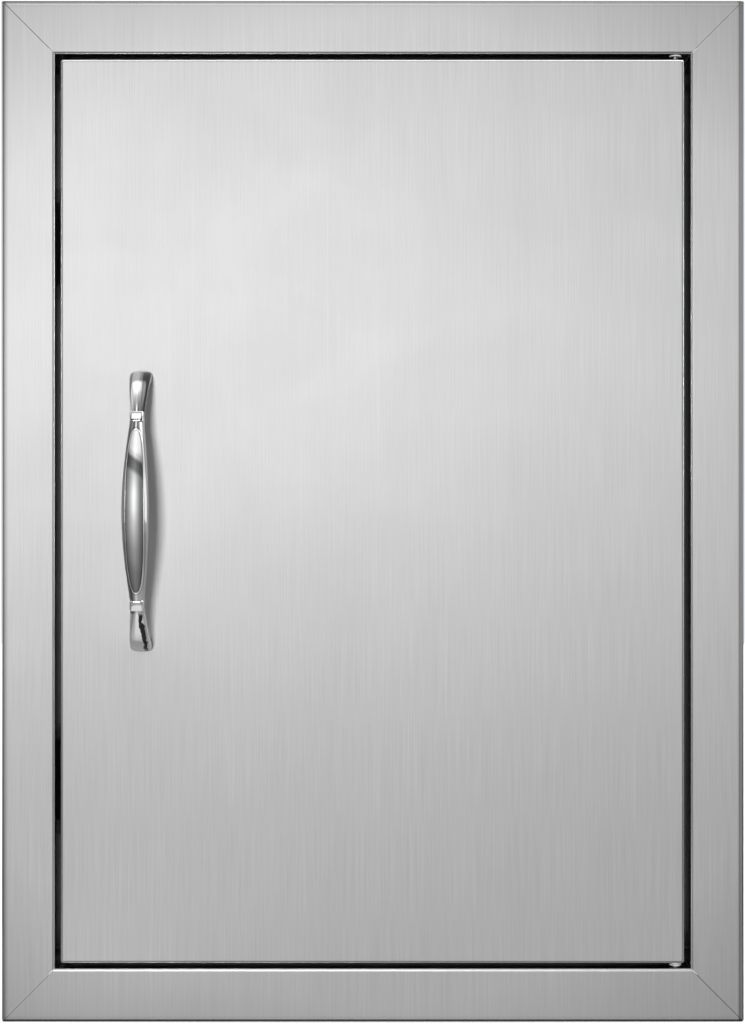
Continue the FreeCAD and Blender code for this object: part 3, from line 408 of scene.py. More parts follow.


# plated and turned metals: cloudy tone, specks and a little bump, with painted shade in narrow gaps
def makeMetal(name, look):
    material, tree, shader = startMaterial(name)
    marks = useGroup(tree, handlingMarks, Size=look["size"])
    gaps = useGroup(tree, gapShade, Floor=metalGapShadeFloor)
    tone = mapRange(tree, marks.outputs["Marks"], 0.35, 0.65, 0.0, 1.0)
    colour = mixColours(tree, tone, look["dark"], look["light"])
    # painted shade in narrow gaps scales the colour
    tree.links.new(scaleColour(tree, colour, gaps.outputs["Open"]), shader.inputs["Base Color"])
    rough = varyRough(tree, marks.outputs["Specks"], look["roughness"], speckRough["metal"])
    tree.links.new(rough, shader.inputs["Roughness"])
    shader.inputs["Metallic"].default_value = 1.0
    addBump(tree, shader, marks.outputs["Specks"], look["depth"])
    return material


# moulded plastic and ferrite: cloudy tone, specks and a little bump
def makePlastic(name, look):
    material, tree, shader = startMaterial(name)
    marks = useGroup(tree, handlingMarks, Size=look["size"])
    colour = mixColours(tree, marks.outputs["Marks"], look["dark"], look["light"])
    tree.links.new(colour, shader.inputs["Base Color"])
    rough = varyRough(tree, marks.outputs["Specks"], look["roughness"], speckRough["plastic"])
    tree.links.new(rough, shader.inputs["Roughness"])
    shader.inputs["IOR"].default_value = 1.5
    addBump(tree, shader, marks.outputs["Specks"], look["depth"])
    return material


# size: how fine the cloudy marks are; depth: how deep the specks are, in metres
metals = {
    "zincPlate": {
        "dark": (0.50, 0.51, 0.52), "light": (0.68, 0.68, 0.66),
        "roughness": 0.34, "size": 60.0, "depth": 0.00002,
    },
    "turnedPin": {
        "dark": (0.55, 0.55, 0.56), "light": (0.66, 0.66, 0.66),
        "roughness": 0.22, "size": 120.0, "depth": 0.000006,
    },
    "screwSteel": {
        "dark": (0.52, 0.52, 0.52), "light": (0.64, 0.64, 0.63),
        "roughness": 0.26, "size": 150.0, "depth": 0.000008,
    },
    "nickelPlate": {
        "dark": (0.46, 0.455, 0.44), "light": (0.60, 0.59, 0.57),
        "roughness": 0.30, "size": 70.0, "depth": 0.00001,
    },
    "springWire": {
        "dark": (0.30, 0.30, 0.31), "light": (0.46, 0.46, 0.47),
        "roughness": 0.30, "size": 160.0, "depth": 0.00001,
    },
}
plastics = {
    "nylon": {
        "dark": (0.74, 0.74, 0.70), "light": (0.86, 0.86, 0.83),
        "roughness": 0.45, "size": 90.0, "depth": 0.00001,
    },
    "blackPlastic": {
        "dark": (0.028, 0.028, 0.029), "light": (0.048, 0.048, 0.049),
        "roughness": 0.48, "size": 40.0, "depth": 0.00003,
    },
    "ferrite": {
        "dark": (0.045, 0.045, 0.048), "light": (0.085, 0.085, 0.09),
        "roughness": 0.62, "size": 80.0, "depth": 0.00003,
    },
}

finish = {
    "face": makeBrushedSteel("brushedDoor", faceSteel),
    "rail": makeBrushedSteel("brushedFrame", faceSteel, paintFrameLines=True),
    "inner": makeBrushedSteel("brushedInner", innerSteel, across=420.0, band=40.0),
}
for label, look in metals.items():
    finish[label] = makeMetal(label, look)
for label, look in plastics.items():
    finish[label] = makePlastic(label, look)

finishOfNode = {
    "face": ("door_skin",),
    "rail": ("top_rail", "bottom_rail", "latch_stile", "hinge_stile"),
    "inner": ("door_liner", "latch_side_stiffener", "hinge_side_stiffener"),
    "zincPlate": (
        "upper_pivot_plate", "lower_pivot_plate", "upper_pivot_bracket", "lower_pivot_bracket",
        "handle_backing_plate", "release_lever",
    ),
    "turnedPin": ("lower_pivot_pin", "release_pin"),
    "screwSteel": ("handle_screws",),
    "nickelPlate": ("upper_catch_poles", "lower_catch_poles", "upper_strike_plate", "lower_strike_plate"),
    "springWire": ("pin_clip",),
    "nylon": ("upper_pivot_bushing", "thrust_washer", "upper_guide_bushing", "lower_pivot_bushing"),
    "blackPlastic": ("upper_catch_housing", "lower_catch_housing"),
    "ferrite": ("upper_catch_magnet", "lower_catch_magnet"),
}
for label, members in finishOfNode.items():
    for member in members:
        slots = nodes[member].data.materials
        slots.clear()
        slots.append(finish[label])
print("materials made:", len(bpy.data.materials))


# handle: one casting with a flared foot at each end, flat collars and a bow with an oval panel

doorLow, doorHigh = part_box("door_skin")
handleLow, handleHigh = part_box("handle")
handle = {
    "x": (handleLow.x + handleHigh.x) / 2,
    "face": doorLow.y,
    "footPlace": 73.0 * mm,
    "footWidth": 11.8 * mm,
    "footThickness": 6.8 * mm,
    "turnInset": 1.0 * mm,
    "turnStandoff": 14.0 * mm,
    "collarPlace": 49.8 * mm,
    "collarStandoff": 20.5 * mm,
    "collarSize": (7.7 * mm, 7.6 * mm, 5.6 * mm),
    "collarAngle": 17.0,
    "bowStandoff": 30.5 * mm,
    "bowWidth": 14.4 * mm,
    "bowThickness": 9.0 * mm,
    "bowEndWidth": 7.2 * mm,
    "bowEndThickness": 6.8 * mm,
    "rimLength": 88.0 * mm,
    "rimBreadth": 10.4 * mm,
    "rimWire": 0.34 * mm,
    "rimPower": 2.6,  # 2 is an ellipse, more is blunter
    "rimSteps": 144,
    "rimSides": 10,
    "collarCorner": 1.3 * mm,
    "collarEdge": 0.35 * mm,
    "rings": 40,
    "legRings": 12,
    "sides": 56,
}


def newObject(name, mesh, material, body="door"):
    item = bpy.data.objects.new(name, mesh)
    bpy.context.scene.collection.objects.link(item)
    item.data.materials.append(material)
    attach(item, body)
    return item


def meshFrom(bm, name, smooth=True, angle=None):
    mesh = bpy.data.meshes.new(name)
    bm.to_mesh(mesh)
    bm.free()
    if smooth:
        mesh.shade_smooth()
    if angle is not None:
        mesh.set_sharp_from_angle(angle=math.radians(angle))
    return mesh


# the bow at a place along Z: its standoff from the door, its slope, and how far it has swelled
def lift(place):
    share = place / handle["collarPlace"] * math.pi / 2
    rise = handle["bowStandoff"] - handle["collarStandoff"]
    slope = -rise * math.pi / 2 / handle["collarPlace"] * math.sin(share)
    return handle["collarStandoff"] + rise * math.cos(share), slope, math.cos(share)


# a ring of the casting: place along Z, standoff from the door, direction of travel, half sizes, and
# how square it is from 0 for an ellipse to 1 for a rounded oblong
def addRing(bm, place, standoff, travel, halfWidth, halfThickness, square=0.0):
    travel = travel.normalized()
    outwards = travel.cross(Vector((1, 0, 0)))
    turn = Matrix((Vector((1, 0, 0)) * halfWidth, outwards * halfThickness, travel)).transposed().to_4x4()
    spot = Matrix.Translation((handle["x"], handle["face"] - standoff, place))
    made = bmesh.ops.create_circle(bm, segments=handle["sides"], radius=1.0)
    power = 1.0 - 0.5 * square
    for vert in made["verts"]:
        vert.co.x = math.copysign(abs(vert.co.x) ** power, vert.co.x)
        vert.co.y = math.copysign(abs(vert.co.y) ** power, vert.co.y)
    bmesh.ops.transform(bm, verts=made["verts"], matrix=spot @ turn)
    return list({edge for vert in made["verts"] for edge in vert.link_edges})


def addLegRings(bm, side):
    first = handle["turnInset"]
    second = handle["footPlace"] - first - handle["collarPlace"]
    rise = handle["turnStandoff"]
    lastRise = handle["collarStandoff"] - rise
    rings = []
    for step in range(-2, handle["legRings"]):
        share = step / handle["legRings"]
        bend = max(share, 0.0)
        drop = (2 * share - bend ** 2) * first + bend ** 2 * second
        standoff = (2 * share - bend ** 2) * rise + bend ** 2 * lastRise
        along = (1 - bend) * first + bend * second
        outwards = (1 - bend) * rise + bend * lastRise
        flare = (handle["footWidth"] - handle["bowEndWidth"]) * math.cos(bend * math.pi / 2)
        width = handle["bowEndWidth"] + flare
        travel = Vector((0, -outwards, -side * along)) * side
        spot = side * (handle["footPlace"] - drop)
        square = math.cos(bend * math.pi / 2) ** 2
        rings.append(addRing(bm, spot, standoff, travel, width / 2, handle["footThickness"] / 2, square))
    return rings if side > 0 else rings[::-1]


def makeHandleBody():
    bm = bmesh.new()
    rings = addLegRings(bm, 1)
    for step in range(handle["rings"] + 1):
        place = handle["collarPlace"] * (1 - 2 * step / handle["rings"])
        standoff, slope, swell = lift(place)
        width = handle["bowEndWidth"] + (handle["bowWidth"] - handle["bowEndWidth"]) * swell
        thickness = handle["bowEndThickness"] + (handle["bowThickness"] - handle["bowEndThickness"]) * swell
        rings.append(addRing(bm, place, standoff, Vector((0, slope, -1)), width / 2, thickness / 2))
    rings += addLegRings(bm, -1)
    for above, below in zip(rings, rings[1:]):
        bmesh.ops.bridge_loops(bm, edges=above + below)
    wall = {"plane_co": (0, handle["face"], 0), "plane_no": (0, 1, 0)}
    cut = bmesh.ops.bisect_plane(bm, geom=bm.verts[:] + bm.edges[:] + bm.faces[:], clear_outer=True, **wall)
    rim = [item for item in cut["geom_cut"] if isinstance(item, bmesh.types.BMEdge)]
    bmesh.ops.edgeloop_fill(bm, edges=rim)
    bmesh.ops.remove_doubles(bm, verts=bm.verts, dist=1e-6)
    bmesh.ops.recalc_face_normals(bm, faces=bm.faces)
    return bm


# a flat band round the casting, tilted with it
def makeCollar(side):
    bm = bmesh.new()
    middle = (handle["x"], handle["face"] - handle["collarStandoff"], side * handle["collarPlace"])
    place = Matrix.Translation(middle)
    turn = Matrix.Rotation(-side * math.radians(handle["collarAngle"]), 4, "X")
    bmesh.ops.create_cube(bm, size=1.0, matrix=place @ turn @ Matrix.Diagonal((*handle["collarSize"], 1)))
    long = (place @ turn).to_3x3() @ Vector((0, 0, 1))
    upright = [e for e in bm.edges if abs((e.verts[1].co - e.verts[0].co).normalized().dot(long)) > 0.99]
    bevel = {"affect": "EDGES", "profile": 0.5, "material": -1}
    bmesh.ops.bevel(bm, geom=upright, offset=handle["collarCorner"], segments=5, **bevel)
    ends = [e for e in bm.edges if len(e.link_faces) == 2 and e.calc_face_angle(0) > 1.2]
    bmesh.ops.bevel(bm, geom=ends, offset=handle["collarEdge"], segments=3, **bevel)
    return bm


# a round wire through points, each with a direction to keep the rings from twisting
def addWire(bm, points, upwards, radius, sides, closed=False):
    rings = []
    count = len(points)
    for step, (spot, up) in enumerate(zip(points, upwards)):
        after = points[(step + 1) % count] if closed or step + 1 < count else spot
        before = points[step - 1] if closed or step else spot
        travel = (after - before).normalized()
        across = travel.cross(up).normalized()
        turn = Matrix((across, travel.cross(across), travel)).transposed().to_4x4()
        place = Matrix.Translation(spot) @ turn
        made = bmesh.ops.create_circle(bm, segments=sides, radius=radius, matrix=place)
        rings.append(list({edge for vert in made["verts"] for edge in vert.link_edges}))
    following = rings[1:] + rings[:1] if closed else rings[1:]
    for above, below in zip(rings, following):
        bmesh.ops.bridge_loops(bm, edges=above + below)
    if not closed:
        for end in (rings[0], rings[-1]):
            bmesh.ops.edgeloop_fill(bm, edges=end)
    bmesh.ops.recalc_face_normals(bm, faces=bm.faces)


# a spot on an oval one unit from its middle, blunter than an ellipse
def bluntOval(angle):
    power = 2 / handle["rimPower"]
    across, along = math.cos(angle), math.sin(angle)
    return math.copysign(abs(across) ** power, across), math.copysign(abs(along) ** power, along)


# the oval rim: a wire laid on the bow's front
def makeRim(body):
    surface = BVHTree.FromBMesh(body)
    bm = bmesh.new()
    points, normals = [], []
    for step in range(handle["rimSteps"]):
        across, along = bluntOval(step / handle["rimSteps"] * math.tau)
        x = handle["x"] + (handle["rimBreadth"] / 2 - handle["rimWire"]) * across
        z = (handle["rimLength"] / 2 - handle["rimWire"]) * along
        spot, normal, *_ = surface.ray_cast(Vector((x, -1, z)), Vector((0, 1, 0)))
        points.append(spot)
        normals.append(normal)
    addWire(bm, points, normals, handle["rimWire"], handle["rimSides"], closed=True)
    return bm


polish = {
    "dark": (0.80, 0.805, 0.815),
    "light": (0.90, 0.90, 0.905),
    "gloss": 0.08,
    "legGloss": 0.17,
    "legFrom": (0.051, 0.056),  # metres from the handle's middle
    "satin": 0.52,
    "markSize": 55.0,
    "markRough": (-0.02, 0.03),
    "speckDepth": 0.000003,
    # painted highlight: the collars' colour is lifted well over the casting's
    "collarPaintedLight": 2.3,
    # painted shade by how far a spot turns away from the eye, and painted reflection by the way it faces
    # across the bow
    "turned": ((0.0, 1.0), (0.60, 1.0), (0.78, 0.75), (0.88, 0.50), (0.95, 0.55), (1.0, 0.25)),
    "flank": (
        (-1.0, 0.95), (-0.97, 0.90), (-0.91, 0.38), (-0.55, 0.36), (-0.30, 0.8),
        (0.35, 0.95), (0.60, 0.8), (0.85, 1.1), (1.0, 0.9),
    ),
    # painted dark and bright lines by distance in mm from the oval's edge, then painted reflection bands
    # inside the oval upwards and across
    "oval": (
        (-2.4, 1.0), (-1.1, 0.92), (-0.75, 0.45), (-0.50, 0.40), (-0.30, 1.3),
        (0.22, 1.3), (0.45, 0.45), (0.8, 0.95), (2.4, 1.0),
    ),
    "rise": (
        (-44, 0.30), (-35, 0.36), (-24, 0.50), (-8, 0.62), (8, 0.68), (19, 0.60),
        (22.5, 0.22), (27, 0.20), (30, 0.9), (34, 1.5), (44, 1.5),
    ),
    "riseTilt": 0.7,
    "swing": ((-5, 0.75), (-3.6, 0.90), (-1.5, 1.0), (0, 1.05), (1.5, 0.9), (3.4, 0.62), (5, 0.6)),
    # painted reflection across the upper leg, and across the painted dark reflection in the lower one, in mm
    "upperLeg": (
        (-6.0, 0.45), (-4.2, 0.5), (-3.4, 1.5), (-0.8, 1.5),
        (0.6, 0.75), (1.6, 0.50), (2.3, 0.14), (6.0, 0.10),
    ),
    "lowerLeg": ((-6.0, 1.9), (0.4, 1.9), (0.9, 0.07), (2.7, 0.06), (3.1, 1.7), (6.0, 1.7)),
    # heights in mm over which the upper leg's painted reflection starts and the lower leg's ends
    "upperLegFrom": (51.8, 52.8),
    "lowerLegTo": (-56.0, -54.5),
    # the lower leg's painted reflection: its waver in mm, and its slant in mm across per metre from a height
    "waverScale": 150.0,
    "waver": (-1.6, 0.6),
    "slant": 70.0,
    "slantFrom": 0.060,
}


# distance in mm from the edge of the blunt oval, negative inside it
def ovalDistance(tree, parts):
    power = handle["rimPower"]
    total, steepness = 1e-6, 1e-6
    for axis, half in (("X", handle["rimBreadth"] / 2), ("Z", handle["rimLength"] / 2)):
        share = math2(tree, "DIVIDE", math2(tree, "ABSOLUTE", parts[axis]), half)
        raised = math2(tree, "POWER", share, power - 1)
        total = math2(tree, "ADD", math2(tree, "MULTIPLY", raised, share), total)
        slope = math2(tree, "DIVIDE", raised, half)
        steepness = math2(tree, "ADD", math2(tree, "MULTIPLY", slope, slope), steepness)
    share = math2(tree, "POWER", total, 1 / power)
    swell = math2(tree, "POWER", share, power - 1)
    beyond = math2(tree, "MULTIPLY", math2(tree, "SUBTRACT", share, 1.0), swell)
    return math2(tree, "MULTIPLY", math2(tree, "DIVIDE", beyond, math2(tree, "SQRT", steepness)), 1000.0)


# painted reflections on the bow: its flanks by the way they face, its oval panel by place, and a line round
# the panel
def bowPaintedReflection(tree, away, across, height, facing):
    tilted = math2(tree, "ADD", height, math2(tree, "MULTIPLY", across, polish["riseTilt"]))
    rise = readCurve(tree, tilted, polish["rise"])
    swing = readCurve(tree, across, polish["swing"])
    flank = readCurve(tree, facing["X"], polish["flank"])
    within = mapRange(tree, away, -0.55, -0.35, 1.0, 0.0)
    tone = mixValues(tree, within, flank, math2(tree, "MULTIPLY", rise, swing))
    return math2(tree, "MULTIPLY", readCurve(tree, away, polish["oval"]), tone)


# painted reflections on the two legs, laid over the bow's
def legPaintedReflection(tree, tone, across, height, place, upwards):
    upper = readCurve(tree, across, polish["upperLeg"])
    inputs = {"Vector": place, "Scale": polish["waverScale"], "Detail": 4.0}
    noise = addNode(tree, "ShaderNodeTexNoise", inputs).outputs["Fac"]
    shift = mapRange(tree, noise, 0.3, 0.7, *polish["waver"])
    slant = math2(tree, "MULTIPLY", math2(tree, "ADD", upwards, polish["slantFrom"]), polish["slant"])
    wavering = math2(tree, "ADD", math2(tree, "ADD", across, shift), slant)
    lower = readCurve(tree, wavering, polish["lowerLeg"])
    above = mapRange(tree, height, *polish["upperLegFrom"], 0.0, 1.0)
    below = mapRange(tree, height, *polish["lowerLegTo"], 1.0, 0.0)
    return mixValues(tree, below, mixValues(tree, above, tone, upper), lower)


# polished all over, and satin inside the oval; its colour carries painted reflections and painted shade
def makePolish(name, collar=False):
    material, tree, shader = startMaterial(name)
    marks = useGroup(tree, handlingMarks, Size=polish["markSize"])
    coords = addNode(tree, "ShaderNodeTexCoord")
    facing = splitVector(tree, coords.outputs["Normal"])
    forwards = facingFront(tree, coords)
    parts = splitVector(tree, vectorMath(tree, "SUBTRACT", coords.outputs["Object"], (handle["x"], 0, 0)))
    away = ovalDistance(tree, parts)
    panel = math2(tree, "MULTIPLY", mapRange(tree, away, -0.4, -0.2, 1.0, 0.0), forwards)
    fine = mapRange(tree, marks.outputs["Marks"], 0.35, 0.65, *polish["markRough"])
    middle = math2(tree, "ABSOLUTE", parts["Z"])
    ends = mapRange(tree, middle, *polish["legFrom"], polish["gloss"], polish["legGloss"])
    rough = math2(tree, "ADD", mixValues(tree, panel, ends, polish["satin"]), fine)
    tree.links.new(rough, shader.inputs["Roughness"])
    tone = polish["collarPaintedLight"]
    if not collar:
        across = math2(tree, "MULTIPLY", parts["X"], 1000.0)
        height = math2(tree, "MULTIPLY", parts["Z"], 1000.0)
        tone = bowPaintedReflection(tree, away, across, height, facing)
        tone = legPaintedReflection(tree, tone, across, height, coords.outputs["Object"], parts["Z"])
    # painted shade darkens spots that turn away from the eye
    weight = addNode(tree, "ShaderNodeLayerWeight", {"Blend": 0.5}).outputs["Facing"]
    turned = readCurve(tree, weight, polish["turned"])
    level = math2(tree, "MULTIPLY", mixValues(tree, forwards, 1.0, tone), turned)
    colour = mixColours(tree, marks.outputs["Marks"], polish["dark"], polish["light"])
    tree.links.new(scaleColour(tree, colour, level), shader.inputs["Base Color"])
    shader.inputs["Metallic"].default_value = 1.0
    addBump(tree, shader, marks.outputs["Specks"], polish["speckDepth"])
    return material


finish["polish"] = makePolish("polishedCasting")
finish["collar"] = makePolish("polishedCollar", collar=True)
bodyMesh = makeHandleBody()
rimMesh = makeRim(bodyMesh)
handlePieces = {
    "handleBody": meshFrom(bodyMesh, "handleBody", angle=50),
    "handleRim": meshFrom(rimMesh, "handleRim"),
    "upperCollar": meshFrom(makeCollar(1), "upperCollar", angle=50),
    "lowerCollar": meshFrom(makeCollar(-1), "lowerCollar", angle=50),
}
for label, mesh in handlePieces.items():
    piece = newObject(label, mesh, finish["collar" if label.endswith("Collar") else "polish"])
    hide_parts("handle")
print("handle made:", len(handlePieces), "pieces")


# catch screws: pan heads with a cross recess, driven into the latch side jamb

screw = {
    "headRadius": 2.8 * mm,
    "headHeight": 1.6 * mm,
    "shankRadius": 1.45 * mm,
    "rootRadius": 1.15 * mm,
    "threads": 3,
    "tip": 1.0 * mm,
    "recessWidth": 0.7 * mm,
    "recessLength": 3.2 * mm,
    "recessDepth": 1.0 * mm,
    "sides": 32,
    # the head's outline, as shares of its radius and of its height below the crown
    "headProfile": ((0.0, 0.0), (0.45, 0.05), (0.80, 0.28), (0.97, 0.62), (1.0, 0.85), (0.97, 1.0)),
}


# outline from the head's crown to the tip, as (distance from the axis, place along it)
def screwOutline(length):
    radius, height = screw["headRadius"], screw["headHeight"]
    outline = [(radius * out, length - height * down) for out, down in screw["headProfile"]]
    outline.append((screw["shankRadius"], length - height))
    pitch = (length - height - screw["tip"]) / screw["threads"]
    for turn in range(screw["threads"]):
        top = length - height - turn * pitch
        outline += [(screw["rootRadius"], top - pitch * 0.25), (screw["rootRadius"], top - pitch * 0.6)]
        outline.append((screw["shankRadius"], top - pitch))
    outline.append((0.0, 0.0))
    return outline


def addScrew(bm, tip, length):
    points = [bm.verts.new((tip.x + place, tip.y, tip.z + away)) for away, place in screwOutline(length)]
    edges = [bm.edges.new(pair) for pair in zip(points, points[1:])]
    around = {"cent": tip, "axis": (1, 0, 0), "angle": math.tau, "steps": screw["sides"]}
    bmesh.ops.spin(bm, geom=points + edges, use_merge=True, **around)


def cutRecess(item, tip, length):
    bm = bmesh.new()
    place = Matrix.Translation((tip.x + length, tip.y, tip.z))
    depth, width, reach = screw["recessDepth"] * 2, screw["recessWidth"], screw["recessLength"]
    for size in ((depth, width, reach, 1), (depth, reach, width, 1)):
        bmesh.ops.create_cube(bm, size=1.0, matrix=place @ Matrix.Diagonal(size))
    cutter = bpy.data.objects.new("cutter", meshFrom(bm, "cutter", smooth=False))
    bpy.context.scene.collection.objects.link(cutter)
    cut = item.modifiers.new("recess", "BOOLEAN")
    cut.operation = "DIFFERENCE"
    cut.solver = "EXACT"
    cut.use_self = True
    cut.object = cutter
    made = bpy.data.meshes.new_from_object(item.evaluated_get(bpy.context.evaluated_depsgraph_get()))
    item.modifiers.clear()
    item.data = made
    bpy.data.objects.remove(cutter)


def makeCatchScrews(node):
    low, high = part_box(node)
    length = high.x - low.x
    bm = bmesh.new()
    depth = (low.y + high.y) / 2
    heights = (low.z + screw["headRadius"], high.z - screw["headRadius"])
    tips = [Vector((low.x, depth, height)) for height in heights]
    for tip in tips:
        addScrew(bm, tip, length)
    bmesh.ops.remove_doubles(bm, verts=bm.verts, dist=1e-6)
    bmesh.ops.recalc_face_normals(bm, faces=bm.faces)
    name = "upperScrews" if node.startswith("upper") else "lowerScrews"
    piece = newObject(name, meshFrom(bm, name, angle=35), finish["screwSteel"], body="frame")
    for tip in tips:
        cutRecess(piece, tip, length)
    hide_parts(node)


for node in ("upper_catch_screws", "lower_catch_screws"):
    makeCatchScrews(node)
print("catch screws made")


# release spring: round wire with a closed turn at each end

spring = {
    "wire": 0.3 * mm,
    "turns": 7,
    "closedPitch": 0.62 * mm,
    "steps": 28,
    "sides": 12,
    "travel": 8.0 * mm,
}


def makeSpring():
    low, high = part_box("release_spring")
    centre = (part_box("release_pin")[0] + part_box("release_pin")[1]) / 2
    radius = (high.x - low.x) / 2 - spring["wire"]
    bottom, top = low.z + spring["wire"], high.z - spring["wire"]
    openTurns = spring["turns"] - 2
    pitch = (top - bottom - 2 * spring["closedPitch"]) / openTurns
    points = []
    for step in range(spring["turns"] * spring["steps"] + 1):
        turn = step / spring["steps"]
        opened = min(max(turn - 1.0, 0.0), openTurns)
        closed = min(turn, 1.0) + max(turn - openTurns - 1.0, 0.0)
        height = bottom + pitch * opened + spring["closedPitch"] * closed
        angle = turn * math.tau
        x = centre.x + radius * math.cos(angle)
        y = centre.y + radius * math.sin(angle)
        points.append(Vector((x, y, height)))
    bm = bmesh.new()
    addWire(bm, points, [Vector((0, 0, 1))] * len(points), spring["wire"], spring["sides"])
    piece = newObject("releaseSpring", meshFrom(bm, "releaseSpring", angle=50), finish["springWire"])
    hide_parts("release_spring")
    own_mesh(piece)


makeSpring()
print("spring made")


# weld seams on the back of the four mitres, which also close the joints to the light

weld = {
    "sheet": 1.0 * mm,
    "width": 2.6 * mm,
    "thickness": 0.7 * mm,
    "inset": 2.2 * mm,
    "faceWidth": 27.8 * mm,
    "ripples": 24,
    "rippleLength": 0.8,  # half a ripple's length over their spacing, so they run into each other
    "sunk": 0.02 * mm,
}


def makeWelds():
    wide, high = cadBounds[1].x, cadBounds[1].z
    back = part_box("top_rail")[0].y + weld["sheet"]
    length = (weld["faceWidth"] - 2 * weld["inset"]) * math.sqrt(2)
    middle = weld["faceWidth"] / 2
    bm = bmesh.new()
    for right in (-1, 1):
        for up in (-1, 1):
            start = Vector((right * (wide - middle), back, up * (high - middle)))
            turn = Matrix.Rotation(-right * up * math.radians(45), 4, "Y")
            for step in range(weld["ripples"]):
                along = ((step + 0.5) / weld["ripples"] - 0.5) * length
                half = length / weld["ripples"] * weld["rippleLength"]
                size = Matrix.Diagonal((half, weld["thickness"], weld["width"] / 2, 1))
                place = Matrix.Translation(start) @ turn @ Matrix.Translation((along, 0, 0))
                bmesh.ops.create_icosphere(bm, subdivisions=2, radius=1.0, matrix=place @ size)
    front = {"plane_co": (0, back + weld["sunk"], 0), "plane_no": (0, -1, 0)}
    bmesh.ops.bisect_plane(bm, geom=bm.verts[:] + bm.edges[:] + bm.faces[:], clear_outer=True, **front)
    piece = newObject("mitreWelds", meshFrom(bm, "mitreWelds"), finish["zincPlate"], body="frame")


makeWelds()
print("welds made")


# studio: pale floor, a soft key lamp, a faint one for the glint, and a pale surround darker in places

studio = {
    "floorSize": 6.0,
    "floorTone": 0.80,
    "floorRough": 0.6,
    "surroundLevel": 2.0,
}
lamps = {
    "keyLight": {"place": (-0.37, -2.2, 0.33), "target": (0, 0, 0), "size": 0.42, "power": 19.2},
    "glintLight": {"place": (-0.30, -1.14, 0.88), "target": (-0.13, 0, 0.05), "size": 0.5, "power": 0.75},
}

# how bright the surround is across, upwards, and from front to back
surround = {
    "X": (
        (-1.0, 0.70), (-0.70, 0.28), (-0.40, 0.58), (0.0, 1.0),
        (0.30, 1.22), (0.60, 1.30), (0.90, 1.45), (1.0, 1.4),
    ),
    "Z": (
        (-1.0, 0.20), (-0.25, 0.18), (0.0, 0.20), (0.20, 0.20), (0.34, 0.12),
        (0.44, 0.11), (0.50, 0.32), (0.60, 0.36), (0.85, 0.42), (1.0, 0.36),
    ),
    "Y": ((-1.0, 0.08), (-0.82, 0.10), (-0.70, 0.26), (-0.55, 0.75), (-0.25, 2.6), (1.0, 2.7)),
}

# the floor's glow by distance in metres from the object: painted reflections that polished metal sees in it,
# and what the camera sees
floorPaintedGlow = {
    "gloss": (
        (0.0, 0.15), (0.08, 0.36), (0.36, 0.36), (0.47, 0.34),
        (0.56, 0.14), (1.1, 0.16), (1.7, 0.28), (2.5, 0.28),
    ),
    "seen": ((0.0, 0.25), (0.20, 0.35), (0.55, 1.0), (2.5, 1.0)),
    # a painted lighter patch of reflection before the handle, squeezed across its depth, and a painted
    # lighter stretch behind
    "patchPlace": (-0.16, -0.22),
    "patchSqueeze": (1.0, 0.5, 1.0),
    "patchEdge": (0.07, 0.11),
    "patchLevel": 0.26,
    "behindEdge": (0.05, 0.25),
    "behindLevel": 0.30,
}


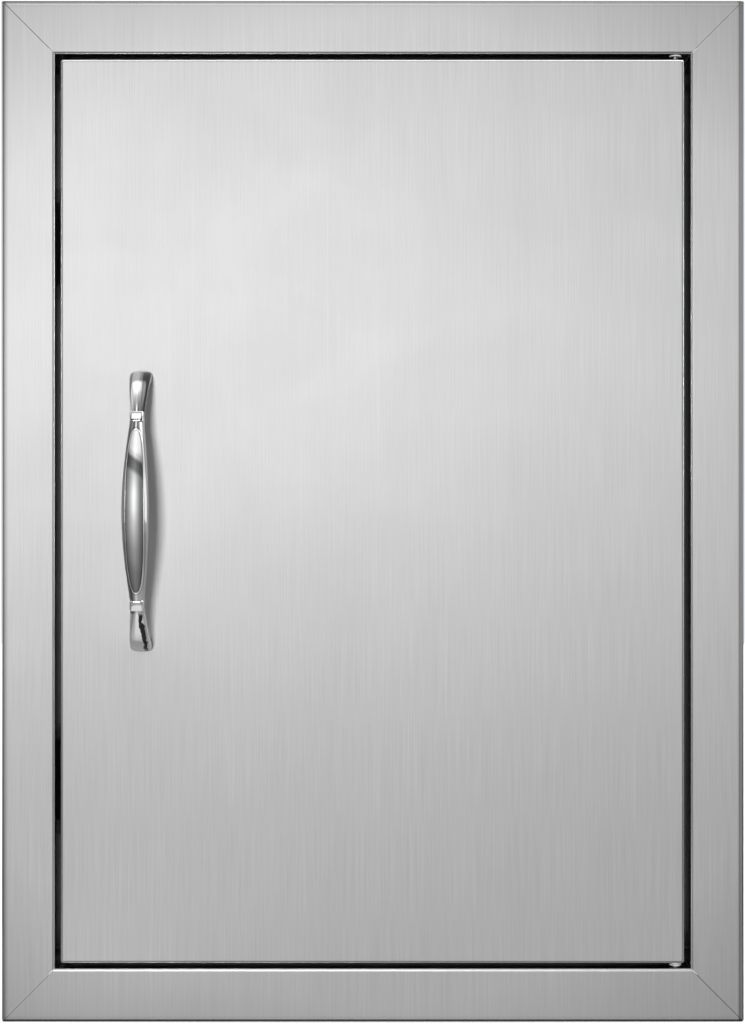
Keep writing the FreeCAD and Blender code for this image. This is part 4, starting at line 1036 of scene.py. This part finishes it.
def makeFloor():
    bm = bmesh.new()
    level = Matrix.Translation((0, 0, cadBounds[0].z))
    bmesh.ops.create_grid(bm, x_segments=1, y_segments=1, size=studio["floorSize"] / 2, matrix=level)
    mesh = meshFrom(bm, "floor", smooth=False)
    material, tree, shader = startMaterial("studioFloor")
    coords = addNode(tree, "ShaderNodeTexCoord").outputs["Object"]
    away = lengthOf(tree, coords)
    glow = readCurve(tree, away, floorPaintedGlow["gloss"])
    seen = readCurve(tree, away, floorPaintedGlow["seen"])
    offset = vectorMath(tree, "SUBTRACT", coords, (*floorPaintedGlow["patchPlace"], cadBounds[0].z))
    beside = lengthOf(tree, vectorMath(tree, "MULTIPLY", offset, floorPaintedGlow["patchSqueeze"]))
    patch = mapRange(tree, beside, *floorPaintedGlow["patchEdge"], floorPaintedGlow["patchLevel"], 0.0)
    depth = splitVector(tree, coords)["Y"]
    behind = mapRange(tree, depth, *floorPaintedGlow["behindEdge"], 0.0, floorPaintedGlow["behindLevel"])
    glow = math2(tree, "ADD", math2(tree, "ADD", glow, patch), behind)
    # in reflections the floor shows only its painted glow; for the camera it glows more strongly further from
    # the object
    rays = addNode(tree, "ShaderNodeLightPath")
    level = math2(tree, "SUBTRACT", 1.0, rays.outputs["Is Glossy Ray"])
    level = math2(tree, "MULTIPLY", level, studio["floorTone"])
    grey = addNode(tree, "ShaderNodeCombineColor", {0: level, 1: level, 2: level})
    tree.links.new(grey.outputs[0], shader.inputs["Base Color"])
    glow = math2(tree, "MULTIPLY", glow, rays.outputs["Is Glossy Ray"])
    seen = math2(tree, "MULTIPLY", seen, rays.outputs["Is Camera Ray"])
    tree.links.new(math2(tree, "ADD", glow, seen), shader.inputs["Emission Strength"])
    shader.inputs["Emission Color"].default_value = (1, 1, 1, 1)
    shader.inputs["Roughness"].default_value = studio["floorRough"]
    item = bpy.data.objects.new("floor", mesh)
    bpy.context.scene.collection.objects.link(item)
    mesh.materials.append(material)


def makeWorld():
    world = bpy.data.worlds.new("surround")
    bpy.context.scene.world = world
    world.use_nodes = True
    tree = world.node_tree
    back = tree.nodes["Background"]
    direction = splitVector(tree, addNode(tree, "ShaderNodeTexCoord").outputs["Generated"])
    level = studio["surroundLevel"]
    for axis, stops in surround.items():
        level = math2(tree, "MULTIPLY", readCurve(tree, direction[axis], stops), level)
    rays = addNode(tree, "ShaderNodeLightPath")
    seen = math2(tree, "MAXIMUM", rays.outputs["Is Camera Ray"], rays.outputs["Is Transmission Ray"])
    tree.links.new(mixValues(tree, seen, level, 1.0), back.inputs["Strength"])
    back.inputs["Color"].default_value = (1, 1, 1, 1)


def addSoftbox(name, place, target, size, power):
    lamp = bpy.data.lights.new(name, "AREA")
    lamp.shape = "SQUARE"
    lamp.size = size
    lamp.energy = power
    item = bpy.data.objects.new(name, lamp)
    bpy.context.scene.collection.objects.link(item)
    item.location = place
    item.rotation_euler = (Vector(target) - Vector(place)).to_track_quat("-Z", "Y").to_euler()


makeFloor()
makeWorld()
for label, settings in lamps.items():
    addSoftbox(label, **settings)

# camera: straight on, as far away as the photograph's handle shows

camera = {
    "distance": 1.05,
    "seenHeight": 559.9 * mm,
    "sensor": 36.0,
    "aim": (-0.14 * mm, -0.41 * mm),
}
lens = bpy.data.cameras.new("camera")
lens.sensor_width = camera["sensor"]
lens.lens = camera["sensor"] * camera["distance"] / camera["seenHeight"]
eye = bpy.data.objects.new("camera", lens)
bpy.context.scene.collection.objects.link(eye)
eye.location = (camera["aim"][0], doorLow.y - camera["distance"], camera["aim"][1])
eye.rotation_euler = (math.radians(90), 0, 0)
bpy.context.scene.camera = eye
bpy.context.scene.view_settings.view_transform = "Standard"
print("studio made")
